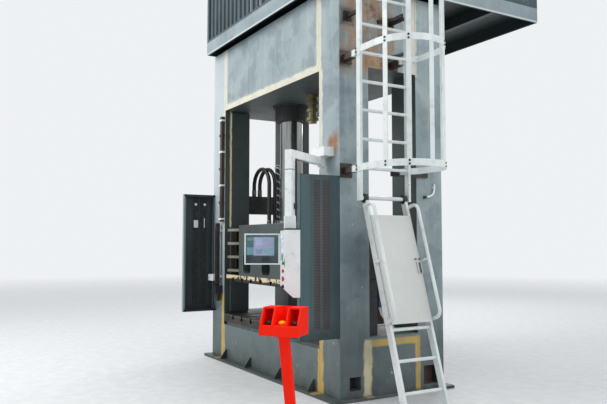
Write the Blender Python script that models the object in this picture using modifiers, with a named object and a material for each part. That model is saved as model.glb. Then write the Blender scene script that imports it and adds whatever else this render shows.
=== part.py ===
"""A four-post hydraulic press with a caged ladder, a pendant and a two-hand console.

Metres, +Z up. The origin is at the centre of the frame's foot, on the floor. The front,
where the work is loaded, faces -Y, and the ladder is on the right side, +X.
"""
import math

import bmesh
import bpy
from mathutils import Matrix, Vector

# Gaps and overruns
GAP = 0.0003
RUNNING_GAP = 0.004
OVERRUN = 0.02

# Frame
FRAME_WIDTH = 3.15
FRAME_DEPTH = 1.31
POST_WIDTH = 0.382
POST_DEPTH = 0.35
CROWN_BOTTOM = 3.30
CROWN_HEIGHT = 0.82
TABLE_HEIGHT = 0.60
TABLE_PLATE = 0.10
TABLE_STEP = 0.04
TABLE_STEP_INSET = 0.03
BASE_THICKNESS = 0.03
BASE_FRONT_LIP = 0.10
BASE_SIDE_LIP = 0.05
GUSSET_HEIGHT = 0.115
GUSSET_THICKNESS = 0.014
GUSSET_PLACES_SHARE = (-0.92, -0.32, 0.32, 0.92)
HAND_HOLE = 0.13
HAND_HOLE_BACK = 0.19
HAND_HOLE_HEIGHT = 0.16
HAND_HOLE_DEPTH = 0.10

# T-slots of the table and the slide plate
SLOT_MOUTH = 0.034
SLOT_FOOT = 0.062
SLOT_DEPTH = 0.052
SLOT_FOOT_DEPTH = 0.024
SLOT_PITCH = 0.26

# Cylinders and rods
CYLINDER_SPACING = 1.10
GLAND_RADIUS = 0.21
GLAND_DROP = 0.20
GLAND_RING_RADIUS = 0.245
GLAND_RING_DROP = 0.018
BARREL_RADIUS = 0.19
BARREL_ABOVE_DECK = 0.34
CAP_RADIUS = 0.235
CAP_THICKNESS = 0.07
ROD_RADIUS = 0.145
ROD_ENGAGED = 0.32
ROD_GAP = 0.0005
ROD_FLANGE_RADIUS = 0.205
ROD_FLANGE = 0.055
STOP_X = 0.20
STOP_Y = -0.13
STOP_RADIUS = 0.052
STOP_FLANGE_RADIUS = 0.075
STOP_LENGTH = 0.34
STOP_FLANGE_SHARE = 0.09
STOP_RING_SHARES = (0.30, 0.55, 0.86)

# Slide
SLIDE_BOTTOM = 1.03
SLIDE_HEIGHT = 0.72
SLIDE_UP = 0.60
SLIDE_SIDE_CLEARANCE = 0.028
SLIDE_PLATE = 0.085
SLIDE_CENTRE_WIDTH = 1.484
SLIDE_CORE_GAP = 0.075
RIB_COUNT = 4
RIB_THICKNESS = 0.03
RIB_FOOT = 0.04
RIB_SCALLOP = 0.055
SHOE_THICKNESS = 0.075
SHOE_DEPTH = 0.17
SHOE_CHAMFER = 0.03
RAIL_WIDTH = 0.27
SLIDE_WINDOW_WIDTH = 0.21
SLIDE_WINDOW_HEIGHT = 0.25
SLIDE_WINDOW_DEPTH = 0.22
SLIDE_WINDOW_PITCH = 0.51
SLIDE_WINDOW_FOOT = 0.03
SLIDE_WINDOW_COUNT = 3

# Side guards
GUARD_REACH = 0.445
GUARD_THICKNESS = 0.06
GUARD_BOTTOM = 0.61
GUARD_TOP = 2.18
GUARD_SKIN = 0.012
GUARD_RIM = 0.10
GUARD_FIELD_TOP_RIM = 0.045
GUARD_FIELD_INSET = 0.10
GUARD_SLOT_PITCH = 0.056
GUARD_SLOT_HEIGHT = 0.02
GUARD_SLOT_BAR = 0.024
GUARD_SLOT_SIDE = 0.02
GUARD_HANDLE_LENGTH = 0.20
GUARD_HANDLE_FOOT = 1.69
GUARD_HANDLE_PLACE_SHARE = 0.63
GUARD_HANDLE_RADIUS = 0.008
GUARD_HANDLE_RISE = 0.035

# Platform
DECK_LEFT_INSET = 0.03
DECK_TO_LADDER = 0.069
DECK_FRONT_LIP = 0.129
DECK_BACK_REACH = 1.402
DECK_PLATE = 0.02
EDGE_BEAM_HEIGHT = 0.17
EDGE_BEAM_WEB = 0.02
JOIST_WIDTH = 0.06
JOIST_COUNT = 4
SCREEN_HEIGHT = 1.02
SLAT_WIDTH = 0.055
SLAT_DEPTH = 0.03
SLAT_PITCH = 0.125
SCREEN_RAIL = 0.05
SCREEN_POST = 0.06
GATE_WIDTH = 0.62

# Power unit on the platform
TANK_LENGTH = 1.30
TANK_DEPTH = 0.62
TANK_HEIGHT = 0.52
TANK_FOOT = 0.05
TANK_LID = 0.02
TANK_Y = 1.52
MOTOR_RADIUS = 0.15
MOTOR_LENGTH = 0.46
MOTOR_SPACING = 0.62
MOTOR_TO_TANK = 0.02
MOTOR_RIB_COUNT = 12
MOTOR_RIB_SHARE = 0.06
MOTOR_AXIS_SHARE = 1.25
MOTOR_FOOT_SHARE = 0.8
PUMP_RADIUS = 0.095
PUMP_LENGTH = 0.16
VALVE_WIDTH = 0.62
VALVE_DEPTH = 0.24
VALVE_HEIGHT = 0.30
VALVE_Y = 0.40
VALVE_STEM_COUNT = 4
VALVE_STEM_RADIUS = 0.048
VALVE_STEM_RISE = 0.096

# Upper ladder and its cage
LADDER_STANDOFF = 0.24
LADDER_Y = -0.295
LADDER_WIDTH = 0.58
STILE_FACE = 0.028
STILE_DEPTH = 0.06
LADDER_RISE_ABOVE_DECK = 1.02
RUNG_PITCH = 0.28
RUNG_RADIUS = 0.016
RUNG_ABOVE_HOOP = 0.003
CAGE_RADIUS = 0.35
HOOP_COUNT = 3
RUNGS_PER_HOOP = 4
HOOP_WIDTH = 0.062
HOOP_THICKNESS = 0.008
CAGE_STRIP_WIDTH = 0.045
CAGE_STRIP_THICKNESS = 0.006
CAGE_STRIP_ANGLES = (-72, -36, 0, 36, 72)
WALL_BRACKET_WIDTH = 0.07
WALL_BRACKET_HEIGHT = 0.06
WALL_BRACKET_PAD = 0.14
WALL_BRACKET_PAD_THICKNESS = 0.012
PIVOT_HEIGHT = 1.955
PIVOT_RADIUS = 0.019
PIVOT_EDGE = 0.025

# Leaning ladder
STEP_WIDTH = 0.47
STEP_LEAN = 17.0
STEP_STILE_FACE = 0.028
STEP_STILE_DEPTH = 0.065
STEP_RUNG_PITCH = 0.28
STEP_FOOT_CLEARANCE = 0.004
FIRST_STEP_SHARE = 0.75
HOOK_RADIUS = 0.042
HOOK_THICKNESS = 0.016
COVER_TOP = 0.19
COVER_LENGTH = 1.03
COVER_THICKNESS = 0.012
COVER_HINGE_RADIUS = 0.011
HASP_WIDTH = 0.05
HASP_HEIGHT = 0.11
HASP_THICKNESS = 0.014
HANDRAIL_RADIUS = 0.017
HANDRAIL_OUT = 0.15
HANDRAIL_TOP = 0.09
HANDRAIL_LENGTH = 1.10
HANDRAIL_BEND = 0.07
HANDRAIL_SEAT = 0.004
HANDRAIL_STAY_SHARE = 0.7

# Pendant
BRACKET_INSET = 0.167
BRACKET_WIDTH = 0.24
BRACKET_HEIGHT = 0.09
BRACKET_REACH = 0.075
ARM_CLEARANCE = 0.12
ARM_SECTION = 0.07
ARM_LENGTH = 0.682
ARM_TURN = 33.3
ARM_PIVOT_RADIUS = 0.045
ARM_PIVOT_HEIGHT = 0.10
COLLAR = 0.10
COLLAR_HEIGHT = 0.13
BOX_WIDTH = 0.54
BOX_HEIGHT = 0.58
BOX_DEPTH = 0.13
BOX_TOP = 1.64
BOX_TURN = -24.0
BOX_CHAMFER = 0.07
SCREEN_WIDTH = 0.30
SCREEN_FIELD_HEIGHT = 0.24
SCREEN_TOP_GAP = 0.035
SCREEN_THICKNESS = 0.006
CLEAR_COVER_WIDTH = 0.33
CLEAR_COVER_HEIGHT = 0.29
CLEAR_COVER_THICKNESS = 0.012
CLEAR_COVER_OPEN = 97.0
BUTTON_RADIUS = 0.015
BUTTON_STANDOFF = 0.014
BUTTON_TRAVEL = 0.004
BEZEL_RADIUS = 0.021
BEZEL_HEIGHT = 0.005
STOP_BUTTON_RADIUS = 0.022
SELECTOR_LENGTH = 0.026
CONTROL_EDGE = 0.063
CONTROL_PITCH = 0.0672
STEM_SHARE = 0.7

# Two-hand console
CONSOLE_X = 2.21
CONSOLE_Y = -1.62
CONSOLE_TURN = 40.0
CONSOLE_FOOT = 0.36
CONSOLE_FOOT_THICKNESS = 0.014
COLUMN_WIDTH = 0.08
COLUMN_DEPTH = 0.06
COLUMN_LEAN = 0.20
TRAY_HEIGHT = 0.79
TRAY_WIDTH = 0.33
TRAY_DEPTH = 0.25
TRAY_BASE = 0.08
TRAY_BACK = 0.14
TRAY_WALL = 0.012
TRAY_SLOPE_SHARE = 0.35
PALM_RADIUS = 0.032
PALM_STEM_RADIUS = 0.016
PALM_RISE = 0.028
PALM_TRAVEL = 0.008
PALM_PLACE = 0.112
PALM_FORWARD_SHARE = 0.3
PALM_CROWN_SHARE = 0.6
PALM_SHOULDER_SHARE = 0.9
PALM_FOOT_SHARE = 0.94

# Hoses, ducts and small boxes
HOSE_RADIUS = 0.027
HOSE_SPACING = 0.085
HOSE_BOX_WIDTH = 0.16
HOSE_BOX_SPACING = 0.0094
HOSE_BOX_HEIGHT = 0.24
HOSE_BOX_FOOT = 1.92
HOSE_RISE = 0.36
HOSE_BOX_INSET = 0.077
HOSE_SEAT_OUT = 0.078
HOSE_PLACE_SHARE = 0.459
SPIRAL_HOSE_RADIUS = 0.04
SPIRAL_HOSE_RISE = 0.40
SPIRAL_SEAT_OUT = 0.188
SPIRAL_PLACE_SHARE = 0.623
DUCT_WIDTH = 0.06
DUCT_DEPTH = 0.045
DUCT_INSET = 0.042
DUCT_LENGTH = 1.41
DUCT_CLIP_PITCH = 0.45
DUCT_CLIP = 0.022
DUCT_CLIP_HEIGHT = 0.028
CURTAIN_WIDTH = 0.05
CURTAIN_DEPTH = 0.045
CURTAIN_BOTTOM = 0.98
CURTAIN_LENGTH = 0.81
CURTAIN_FOOT = 0.07
SIDE_BOX_WIDTH = 0.26
SIDE_BOX_DEPTH = 0.15
SIDE_BOX_HEIGHT = 0.55
SIDE_BOX_INSET = 0.047
AIR_UNIT_HEIGHT = 0.20

# Facets
ROUND_SIDES = 24
SMALL_SIDES = 12
TUBE_SIDES = 8
ARC_STEPS = 5

# Sizes worked out from those above
HALF_WIDTH = FRAME_WIDTH / 2
HALF_DEPTH = FRAME_DEPTH / 2
BAY_X = HALF_WIDTH - POST_WIDTH
BAY_Y = HALF_DEPTH - POST_DEPTH
CROWN_TOP = CROWN_BOTTOM + CROWN_HEIGHT
ROD_TOP = CROWN_BOTTOM + ROD_ENGAGED
SLIDE_TOP = SLIDE_BOTTOM + SLIDE_HEIGHT
SLIDE_CORE_DEPTH = 2 * BAY_Y + RAIL_WIDTH - SHOE_DEPTH - 2 * SLIDE_CORE_GAP
DECK_TOP = CROWN_TOP + EDGE_BEAM_HEIGHT
SLIDE_END = BAY_X - SLIDE_SIDE_CLEARANCE
SHOE_FACE = SLIDE_END - SHOE_THICKNESS
SLIDE_BODY_BOTTOM = SLIDE_BOTTOM + SLIDE_PLATE
CYLINDER_X = CYLINDER_SPACING / 2
GLAND_BOTTOM = CROWN_BOTTOM - GLAND_DROP
LADDER_X = HALF_WIDTH + LADDER_STANDOFF
LADDER_FOOT = PIVOT_HEIGHT - PIVOT_EDGE
CAGE_CENTRE_X = LADDER_X + CAGE_RADIUS
HOOP_HEIGHTS = [PIVOT_HEIGHT + RUNG_PITCH * (1 + RUNGS_PER_HOOP * i) for i in range(HOOP_COUNT)]
RUNG_FIRST = HOOP_HEIGHTS[0] + RUNG_ABOVE_HOOP
ARM_HEIGHT = GUARD_TOP + ARM_CLEARANCE + ARM_SECTION / 2
BRACKET_X = BAY_X + BRACKET_INSET
DROP_FOOT = BOX_TOP + COLLAR_HEIGHT
DECK_LEFT = HALF_WIDTH - DECK_LEFT_INSET
DECK_RIGHT = LADDER_X - STILE_DEPTH / 2 - DECK_TO_LADDER
DECK_FRONT = HALF_DEPTH + DECK_FRONT_LIP
DECK_BACK = HALF_DEPTH + DECK_BACK_REACH
MOTOR_Y = TANK_Y - (TANK_DEPTH + MOTOR_LENGTH) / 2 - MOTOR_TO_TANK
HOSE_BOX_TOP = HOSE_BOX_FOOT + HOSE_BOX_HEIGHT
HOSE_BOX_DEPTH = BAY_Y - GAP - HOSE_BOX_SPACING / 2
HOSE_FIXED_X = -BAY_X - HOSE_BOX_INSET
HOSE_MOVING_X = -SLIDE_CENTRE_WIDTH / 2 - HOSE_SEAT_OUT
HOSE_Y = -BAY_Y * HOSE_PLACE_SHARE
SPIRAL_HOSE_X = -SLIDE_CENTRE_WIDTH / 2 - SPIRAL_SEAT_OUT
SPIRAL_HOSE_FIXED_Y = BAY_Y * SPIRAL_PLACE_SHARE
CURTAIN_TOP = CURTAIN_BOTTOM + CURTAIN_LENGTH
DUCT_LOW = CURTAIN_TOP + OVERRUN
DUCT_TOP = DUCT_LOW + DUCT_LENGTH
DUCT_X = -BAY_X - DUCT_INSET
SIDE_BOX_X = BAY_X + SIDE_BOX_INSET + SIDE_BOX_WIDTH / 2

PARTS = "hydraulic_press"
CUTTERS = "hydraulic_press_cutters"


def clear_scene():
    """Remove whatever the file holds, so the press stands alone."""
    for item in list(bpy.data.objects):
        bpy.data.objects.remove(item, do_unlink=True)
    for group in list(bpy.data.collections):
        bpy.data.collections.remove(group)


def new_collection(name):
    group = bpy.data.collections.new(name)
    bpy.context.scene.collection.children.link(group)
    return group


def material(name, colour, roughness, metallic=0.0):
    """A plain Principled surface."""
    surface = bpy.data.materials.new(name)
    surface.use_nodes = True
    shader = surface.node_tree.nodes["Principled BSDF"]
    shader.inputs["Base Color"].default_value = (*colour, 1.0)
    shader.inputs["Roughness"].default_value = roughness
    shader.inputs["Metallic"].default_value = metallic
    surface.diffuse_color = (*colour, 1.0)
    return surface


def as_mesh(shape):
    """Turn a bmesh into mesh data and free it."""
    mesh = bpy.data.meshes.new("shape")
    shape.to_mesh(mesh)
    shape.free()
    return mesh


def evaluated(item):
    """The mesh that an object's curve or modifiers make, welded, without the object."""
    graph = bpy.context.evaluated_depsgraph_get()
    mesh = bpy.data.meshes.new_from_object(item.evaluated_get(graph))
    data = item.data
    bpy.data.objects.remove(item, do_unlink=True)
    if isinstance(data, bpy.types.Curve):
        bpy.data.curves.remove(data)
    shape = bmesh.new()
    shape.from_mesh(mesh)
    bpy.data.meshes.remove(mesh)
    bmesh.ops.remove_doubles(shape, verts=shape.verts, dist=GAP / 10)
    bmesh.ops.recalc_face_normals(shape, faces=shape.faces)
    return as_mesh(shape)


def block(x, y, z):
    """A box between two values on each axis, given in either order."""
    low = Vector((min(x), min(y), min(z)))
    high = Vector((max(x), max(y), max(z)))
    shape = bmesh.new()
    bmesh.ops.create_cube(shape, size=1)
    place = Matrix.Translation((low + high) / 2) @ Matrix.Diagonal((*(high - low), 1))
    bmesh.ops.transform(shape, matrix=place, verts=shape.verts)
    return as_mesh(shape)


def drum(start, end, radius, sides=SMALL_SIDES, flat_up=False):
    """A round bar between two points, with a corner or a flat side up."""
    start = Vector(start)
    end = Vector(end)
    way = end - start
    shape = bmesh.new()
    bmesh.ops.create_cone(shape, cap_ends=True, segments=sides, radius1=radius,
                          radius2=radius, depth=way.length)
    turn = way.to_track_quat("Z", "Y").to_matrix().to_4x4()
    if flat_up:
        turn = turn @ Matrix.Rotation(math.pi / sides, 4, "Z")
    bmesh.ops.transform(shape, matrix=Matrix.Translation((start + end) / 2) @ turn, verts=shape.verts)
    return as_mesh(shape)


def turning_hole(radius):
    """The radius of a faceted hole in which a faceted pin of this radius turns freely."""
    return (radius + GAP) / math.cos(math.pi / SMALL_SIDES)


def turned(profile, centre, sides=ROUND_SIDES):
    """A body of revolution about Z, from a profile of (radius, height) run from top to bottom."""
    mesh = bpy.data.meshes.new("profile")
    points = [(radius, 0, height) for radius, height in profile]
    mesh.from_pydata(points, [(i, i + 1) for i in range(len(points) - 1)], [])
    item = bpy.data.objects.new("profile", mesh)
    bpy.context.scene.collection.objects.link(item)
    screw = item.modifiers.new("turn", "SCREW")
    screw.steps = sides
    screw.render_steps = sides
    screw.use_merge_vertices = True
    screw.merge_threshold = GAP / 10
    result = evaluated(item)
    result.transform(Matrix.Translation(centre))
    return result


def prism(outline, thickness, place=None):
    """A flat outline in XY, thickened evenly about Z, then put in place."""
    curve = bpy.data.curves.new("outline", "CURVE")
    curve.dimensions = "2D"
    curve.fill_mode = "BOTH"
    curve.extrude = thickness / 2
    spline = curve.splines.new("POLY")
    spline.points.add(len(outline) - 1)
    for point, (x, y) in zip(spline.points, outline):
        point.co = (x, y, 0, 1)
    spline.use_cyclic_u = True
    item = bpy.data.objects.new("outline", curve)
    bpy.context.scene.collection.objects.link(item)
    result = evaluated(item)
    if place is not None:
        result.transform(place)
    return result


def tube(points, radius, resolution=2):
    """A round tube along points, with its ends closed."""
    curve = bpy.data.curves.new("tube", "CURVE")
    curve.dimensions = "3D"
    curve.bevel_depth = radius
    curve.bevel_resolution = resolution
    curve.use_fill_caps = True
    spline = curve.splines.new("POLY")
    spline.points.add(len(points) - 1)
    for point, place in zip(spline.points, points):
        point.co = (*place, 1)
    item = bpy.data.objects.new("tube", curve)
    bpy.context.scene.collection.objects.link(item)
    return evaluated(item)


def group(*meshes):
    """Several meshes as one, and the originals removed."""
    shape = bmesh.new()
    for mesh in meshes:
        shape.from_mesh(mesh)
        bpy.data.meshes.remove(mesh)
    return as_mesh(shape)


def moved(mesh, matrix):
    mesh.transform(matrix)
    return mesh


def piece(name, mesh, surface, origin=(0, 0, 0), round_piece=False):
    """A named sub-part whose mesh is given in world coordinates."""
    mesh.name = name
    mesh.transform(Matrix.Translation(-Vector(origin)))
    mesh.materials.clear()
    mesh.materials.append(surface)
    if round_piece:
        mesh.shade_smooth()
        mesh.set_sharp_from_angle(angle=math.radians(40))
    item = bpy.data.objects.new(name, mesh)
    item.location = origin
    bpy.data.collections[PARTS].objects.link(item)
    return item


def boolean(item, mesh, operation):
    """Cut or join a mesh, given in world coordinates, on a sub-part."""
    mesh.transform(Matrix.Translation(-item.location))
    tool = bpy.data.objects.new(item.name + "_" + operation.lower(), mesh)
    tool.location = item.location
    tool.hide_render = True
    tool.display_type = "WIRE"
    bpy.data.collections[CUTTERS].objects.link(tool)
    modifier = item.modifiers.new(operation.lower(), "BOOLEAN")
    modifier.operation = operation
    modifier.solver = "EXACT"
    modifier.object = tool


def cut(item, *meshes):
    boolean(item, group(*meshes), "DIFFERENCE")


def weld(item, *meshes):
    boolean(item, group(*meshes), "UNION")


def turn_about(point, degrees, axis):
    """A turn about an axis through a point."""
    place = Matrix.Translation(Vector(point))
    return place @ Matrix.Rotation(math.radians(degrees), 4, axis) @ place.inverted()


def spread(count, pitch):
    """Places of a row of things, centred on zero."""
    return [(i - (count - 1) / 2) * pitch for i in range(count)]


def arc(centre, radius, start, end, steps=ARC_STEPS):
    """Points on an arc in a plane, angles in degrees."""
    points = []
    for i in range(steps + 1):
        angle = math.radians(start + (end - start) * i / steps)
        points.append((centre[0] + radius * math.cos(angle), centre[1] + radius * math.sin(angle)))
    return points


def rounded_rectangle(width, height, radius):
    """An outline with four round corners, centred on zero."""
    x = width / 2 - radius
    y = height / 2 - radius
    points = []
    for centre, start in (((x, y), 0), ((-x, y), 90), ((-x, -y), 180), ((x, -y), 270)):
        points += arc(centre, radius, start, start + 90, 3)
    return points


UPRIGHT = Matrix.Rotation(math.radians(90), 4, "X")
SIDEWAYS = Matrix.Rotation(math.radians(90), 4, "Z") @ UPRIGHT


def make_posts(paint):
    """Four box posts, each with a hand hole at its foot and a guide rail on its inner side."""
    rail_thickness = SLIDE_SIDE_CLEARANCE - RUNNING_GAP
    for side, side_name in ((-1, "left"), (1, "right")):
        for face, face_name in ((-1, "front"), (1, "back")):
            outer_x = side * HALF_WIDTH
            inner_x = side * BAY_X
            outer_y = face * HALF_DEPTH
            inner_y = face * BAY_Y
            post = piece(f"post_{face_name}_{side_name}",
                         block((outer_x, inner_x), (outer_y, inner_y), (BASE_THICKNESS + GAP, CROWN_TOP)),
                         paint)
            rail = block((inner_x + side * OVERRUN, inner_x - side * rail_thickness),
                         (inner_y, inner_y + face * RAIL_WIDTH),
                         (TABLE_HEIGHT + OVERRUN, CROWN_BOTTOM - OVERRUN))
            weld(post, rail)
            size = HAND_HOLE if face < 0 else HAND_HOLE_BACK
            centre_y = (outer_y + inner_y) / 2
            cut(post, block((outer_x + side * OVERRUN, outer_x - side * HAND_HOLE_DEPTH),
                            (centre_y - size / 2, centre_y + size / 2),
                            (HAND_HOLE_HEIGHT - size / 2, HAND_HOLE_HEIGHT + size / 2)))


def make_crown(paint):
    """The crown between the posts, bored for the two cylinder barrels."""
    height = (CROWN_BOTTOM, CROWN_TOP)
    crown = piece("crown", block((GAP - BAY_X, BAY_X - GAP), (-HALF_DEPTH, HALF_DEPTH), height), paint)
    weld(crown, block((-HALF_WIDTH, HALF_WIDTH), (GAP - BAY_Y, BAY_Y - GAP), height))
    bores = [drum((x, 0, CROWN_BOTTOM - OVERRUN), (x, 0, CROWN_TOP + OVERRUN),
                  BARREL_RADIUS + GAP, ROUND_SIDES) for x in (-CYLINDER_X, CYLINDER_X)]
    cut(crown, *bores)


def make_bed(paint):
    """The bed between the posts: low under the table, up to table height in the side bays."""
    low = BASE_THICKNESS + GAP
    step_foot = TABLE_HEIGHT - TABLE_PLATE - TABLE_STEP
    bay = BAY_X + GAP
    saddle = [(-HALF_WIDTH, low), (HALF_WIDTH, low), (HALF_WIDTH, TABLE_HEIGHT), (bay, TABLE_HEIGHT),
              (bay, step_foot - OVERRUN), (-bay, step_foot - OVERRUN), (-bay, TABLE_HEIGHT),
              (-HALF_WIDTH, TABLE_HEIGHT)]
    bed = piece("bed", prism(saddle, 2 * (BAY_Y - GAP), UPRIGHT), paint)
    weld(bed, block((GAP - BAY_X, BAY_X - GAP), (-HALF_DEPTH, HALF_DEPTH), (low, step_foot)))
    inset_x = BAY_X - TABLE_STEP_INSET
    inset_y = HALF_DEPTH - TABLE_STEP_INSET
    weld(bed, block((-inset_x, inset_x), (-inset_y, inset_y),
                    (step_foot - OVERRUN / 2, TABLE_HEIGHT - TABLE_PLATE - GAP)))


def slot_cutters(x_reach, y_reach, face_z, way):
    """T-slots that run front to back, opening at face_z; way is +1 where they open upwards."""
    count = int((2 * x_reach - SLOT_FOOT) / SLOT_PITCH)
    count -= count % 2
    mouth = SLOT_MOUTH / 2
    foot = SLOT_FOOT / 2
    outline = [(mouth, OVERRUN), (-mouth, OVERRUN), (-mouth, SLOT_FOOT_DEPTH - SLOT_DEPTH),
               (-foot, SLOT_FOOT_DEPTH - SLOT_DEPTH), (-foot, -SLOT_DEPTH), (foot, -SLOT_DEPTH),
               (foot, SLOT_FOOT_DEPTH - SLOT_DEPTH), (mouth, SLOT_FOOT_DEPTH - SLOT_DEPTH)]
    outline = [(x, way * z) for x, z in outline]
    return [prism(outline, 2 * (y_reach + OVERRUN), Matrix.Translation((x, 0, face_z)) @ UPRIGHT)
            for x in spread(count, SLOT_PITCH)]


def make_table(steel):
    reach_x = BAY_X - GAP
    table = piece("table_plate", block((-reach_x, reach_x), (-HALF_DEPTH, HALF_DEPTH),
                                       (TABLE_HEIGHT - TABLE_PLATE, TABLE_HEIGHT)), steel)
    cut(table, *slot_cutters(reach_x, HALF_DEPTH, TABLE_HEIGHT, 1))


def make_base(paint):
    """The foot plate, with upright gussets along its front and back edges."""
    reach_x = HALF_WIDTH + BASE_SIDE_LIP
    reach_y = HALF_DEPTH + BASE_FRONT_LIP
    base = piece("base_plate", block((-reach_x, reach_x), (-reach_y, reach_y), (0, BASE_THICKNESS)), paint)
    gussets = []
    for face in (-1, 1):
        near = face * (HALF_DEPTH + GAP)
        far = face * (reach_y - GUSSET_THICKNESS)
        sunk = BASE_THICKNESS - BASE_THICKNESS / 2
        outline = [(near, sunk), (far, sunk), (far, BASE_THICKNESS + GUSSET_THICKNESS),
                   (near + face * GUSSET_THICKNESS, BASE_THICKNESS + GUSSET_HEIGHT),
                   (near, BASE_THICKNESS + GUSSET_HEIGHT)]
        for share in GUSSET_PLACES_SHARE:
            place = Matrix.Translation((share * BAY_X, 0, 0)) @ SIDEWAYS
            gussets.append(prism(outline, GUSSET_THICKNESS, place))
    weld(base, *gussets)


def make_cylinders(dark, chrome):
    """Two cylinders through the crown; each rod runs down to a flange on the slide."""
    bore = ROD_RADIUS + ROD_GAP
    bore_top = ROD_TOP + SLIDE_UP + OVERRUN
    top = DECK_TOP + BARREL_ABOVE_DECK
    ring_foot = CROWN_BOTTOM - GLAND_RING_DROP
    profile = [(0, top), (BARREL_RADIUS / 2, top), (BARREL_RADIUS / 2, top - OVERRUN),
               (CAP_RADIUS, top - OVERRUN), (CAP_RADIUS, top - OVERRUN - CAP_THICKNESS),
               (BARREL_RADIUS, top - OVERRUN - CAP_THICKNESS), (BARREL_RADIUS, CROWN_BOTTOM - GAP),
               (GLAND_RING_RADIUS, CROWN_BOTTOM - GAP), (GLAND_RING_RADIUS, ring_foot),
               (GLAND_RADIUS, ring_foot), (GLAND_RADIUS, GLAND_BOTTOM), (bore, GLAND_BOTTOM),
               (bore, bore_top), (0, bore_top)]
    rod_foot = SLIDE_TOP + GAP
    rod_profile = [(0, ROD_TOP), (ROD_RADIUS, ROD_TOP), (ROD_RADIUS, rod_foot + ROD_FLANGE),
                   (ROD_FLANGE_RADIUS, rod_foot + ROD_FLANGE), (ROD_FLANGE_RADIUS, rod_foot), (0, rod_foot)]
    for side, side_name in ((-1, "left"), (1, "right")):
        centre = (side * CYLINDER_X, 0, 0)
        piece(f"cylinder_{side_name}", turned(profile, centre), dark, centre, True)
        piece(f"rod_{side_name}", turned(rod_profile, centre), chrome, centre, True)


def make_stop_cylinder(bronze):
    """The stop cylinder under the crown, a short stack of flanges and barrels."""
    top = CROWN_BOTTOM - GAP
    flange = STOP_LENGTH * STOP_FLANGE_SHARE
    profile = [(0, top), (STOP_FLANGE_RADIUS, top), (STOP_FLANGE_RADIUS, top - flange),
               (STOP_RADIUS, top - flange)]
    for share in STOP_RING_SHARES:
        height = top - STOP_LENGTH * share
        profile += [(STOP_RADIUS, height + flange / 2), (STOP_FLANGE_RADIUS, height + flange / 2),
                    (STOP_FLANGE_RADIUS, height - flange / 2), (STOP_RADIUS, height - flange / 2)]
    profile += [(STOP_RADIUS, top - STOP_LENGTH), (0, top - STOP_LENGTH)]
    centre = (STOP_X, STOP_Y, 0)
    piece("stop_cylinder", turned(profile, centre, SMALL_SIDES), bronze, centre, True)


def make_slide(paint, steel, bronze):
    """The slide: a centre block, guide pockets between scalloped ribs, and a slotted plate."""
    half_centre = SLIDE_CENTRE_WIDTH / 2
    core_y = SLIDE_CORE_DEPTH / 2
    bottom = SLIDE_BODY_BOTTOM + GAP
    slide = piece("slide_body", block((-half_centre, half_centre), (-HALF_DEPTH, HALF_DEPTH),
                                      (bottom, SLIDE_TOP)), paint, (0, 0, SLIDE_TOP))
    weld(slide, block((-SLIDE_END, SLIDE_END), (-core_y, core_y),
                      (bottom + RIB_FOOT / 2, SLIDE_TOP - RIB_FOOT / 2)))
    ribs = []
    pitch = (SLIDE_TOP - bottom - 2 * RIB_FOOT - RIB_THICKNESS) / (RIB_COUNT - 1)
    for side in (-1, 1):
        inner = side * (half_centre - OVERRUN)
        outer = side * (SHOE_FACE - GAP)
        scallop = [(outer, -HALF_DEPTH), (inner, -HALF_DEPTH), (inner, HALF_DEPTH), (outer, HALF_DEPTH)]
        middle = side * (half_centre + SHOE_FACE) / 2
        reach = (SHOE_FACE - half_centre) / 2
        front = []
        for i in range(1, ARC_STEPS + 1):
            share = -1 + 2 * i / (ARC_STEPS + 1)
            front.append((middle + side * reach * share, HALF_DEPTH - RIB_SCALLOP * (1 - share * share)))
        outline = [scallop[1]] + [(x, -y) for x, y in front] + [scallop[0], scallop[3]]
        outline += list(reversed(front)) + [scallop[2]]
        for i in range(RIB_COUNT):
            height = bottom + RIB_FOOT + RIB_THICKNESS / 2 + i * pitch
            ribs.append(prism(outline, RIB_THICKNESS, Matrix.Translation((0, 0, height))))
    weld(slide, *ribs)
    window = rounded_rectangle(SLIDE_WINDOW_WIDTH, SLIDE_WINDOW_HEIGHT, SLIDE_WINDOW_WIDTH / 4)
    window_z = bottom + SLIDE_WINDOW_FOOT + SLIDE_WINDOW_HEIGHT / 2
    windows = []
    for face in (-1, 1):
        for x in spread(SLIDE_WINDOW_COUNT, SLIDE_WINDOW_PITCH):
            place = Matrix.Translation((x, face * HALF_DEPTH, window_z)) @ UPRIGHT
            windows.append(prism(window, 2 * SLIDE_WINDOW_DEPTH, place))
    cut(slide, *windows)

    plate = piece("slide_plate", block((-SLIDE_END, SLIDE_END), (-HALF_DEPTH, HALF_DEPTH),
                                       (SLIDE_BOTTOM, SLIDE_BODY_BOTTOM)), steel, (0, 0, SLIDE_TOP))
    cut(plate, *slot_cutters(SLIDE_END, HALF_DEPTH, SLIDE_BOTTOM, -1))

    for side, side_name in ((-1, "left"), (1, "right")):
        for face, face_name in ((-1, "front"), (1, "back")):
            near_y = face * (BAY_Y + (RAIL_WIDTH - SHOE_DEPTH) / 2)
            far_y = near_y + face * SHOE_DEPTH
            tip = SLIDE_END
            heel = SHOE_FACE
            bevel = SHOE_CHAMFER
            outline = [(heel, bottom), (tip - bevel, bottom), (tip, bottom + bevel),
                       (tip, SLIDE_TOP - RIB_FOOT - bevel), (tip - bevel, SLIDE_TOP - RIB_FOOT),
                       (heel, SLIDE_TOP - RIB_FOOT)]
            outline = [(side * x, z) for x, z in outline]
            place = Matrix.Translation((0, (near_y + far_y) / 2, 0)) @ UPRIGHT
            piece(f"guide_shoe_{face_name}_{side_name}", prism(outline, SHOE_DEPTH, place), bronze,
                  (0, 0, SLIDE_TOP))


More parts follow.
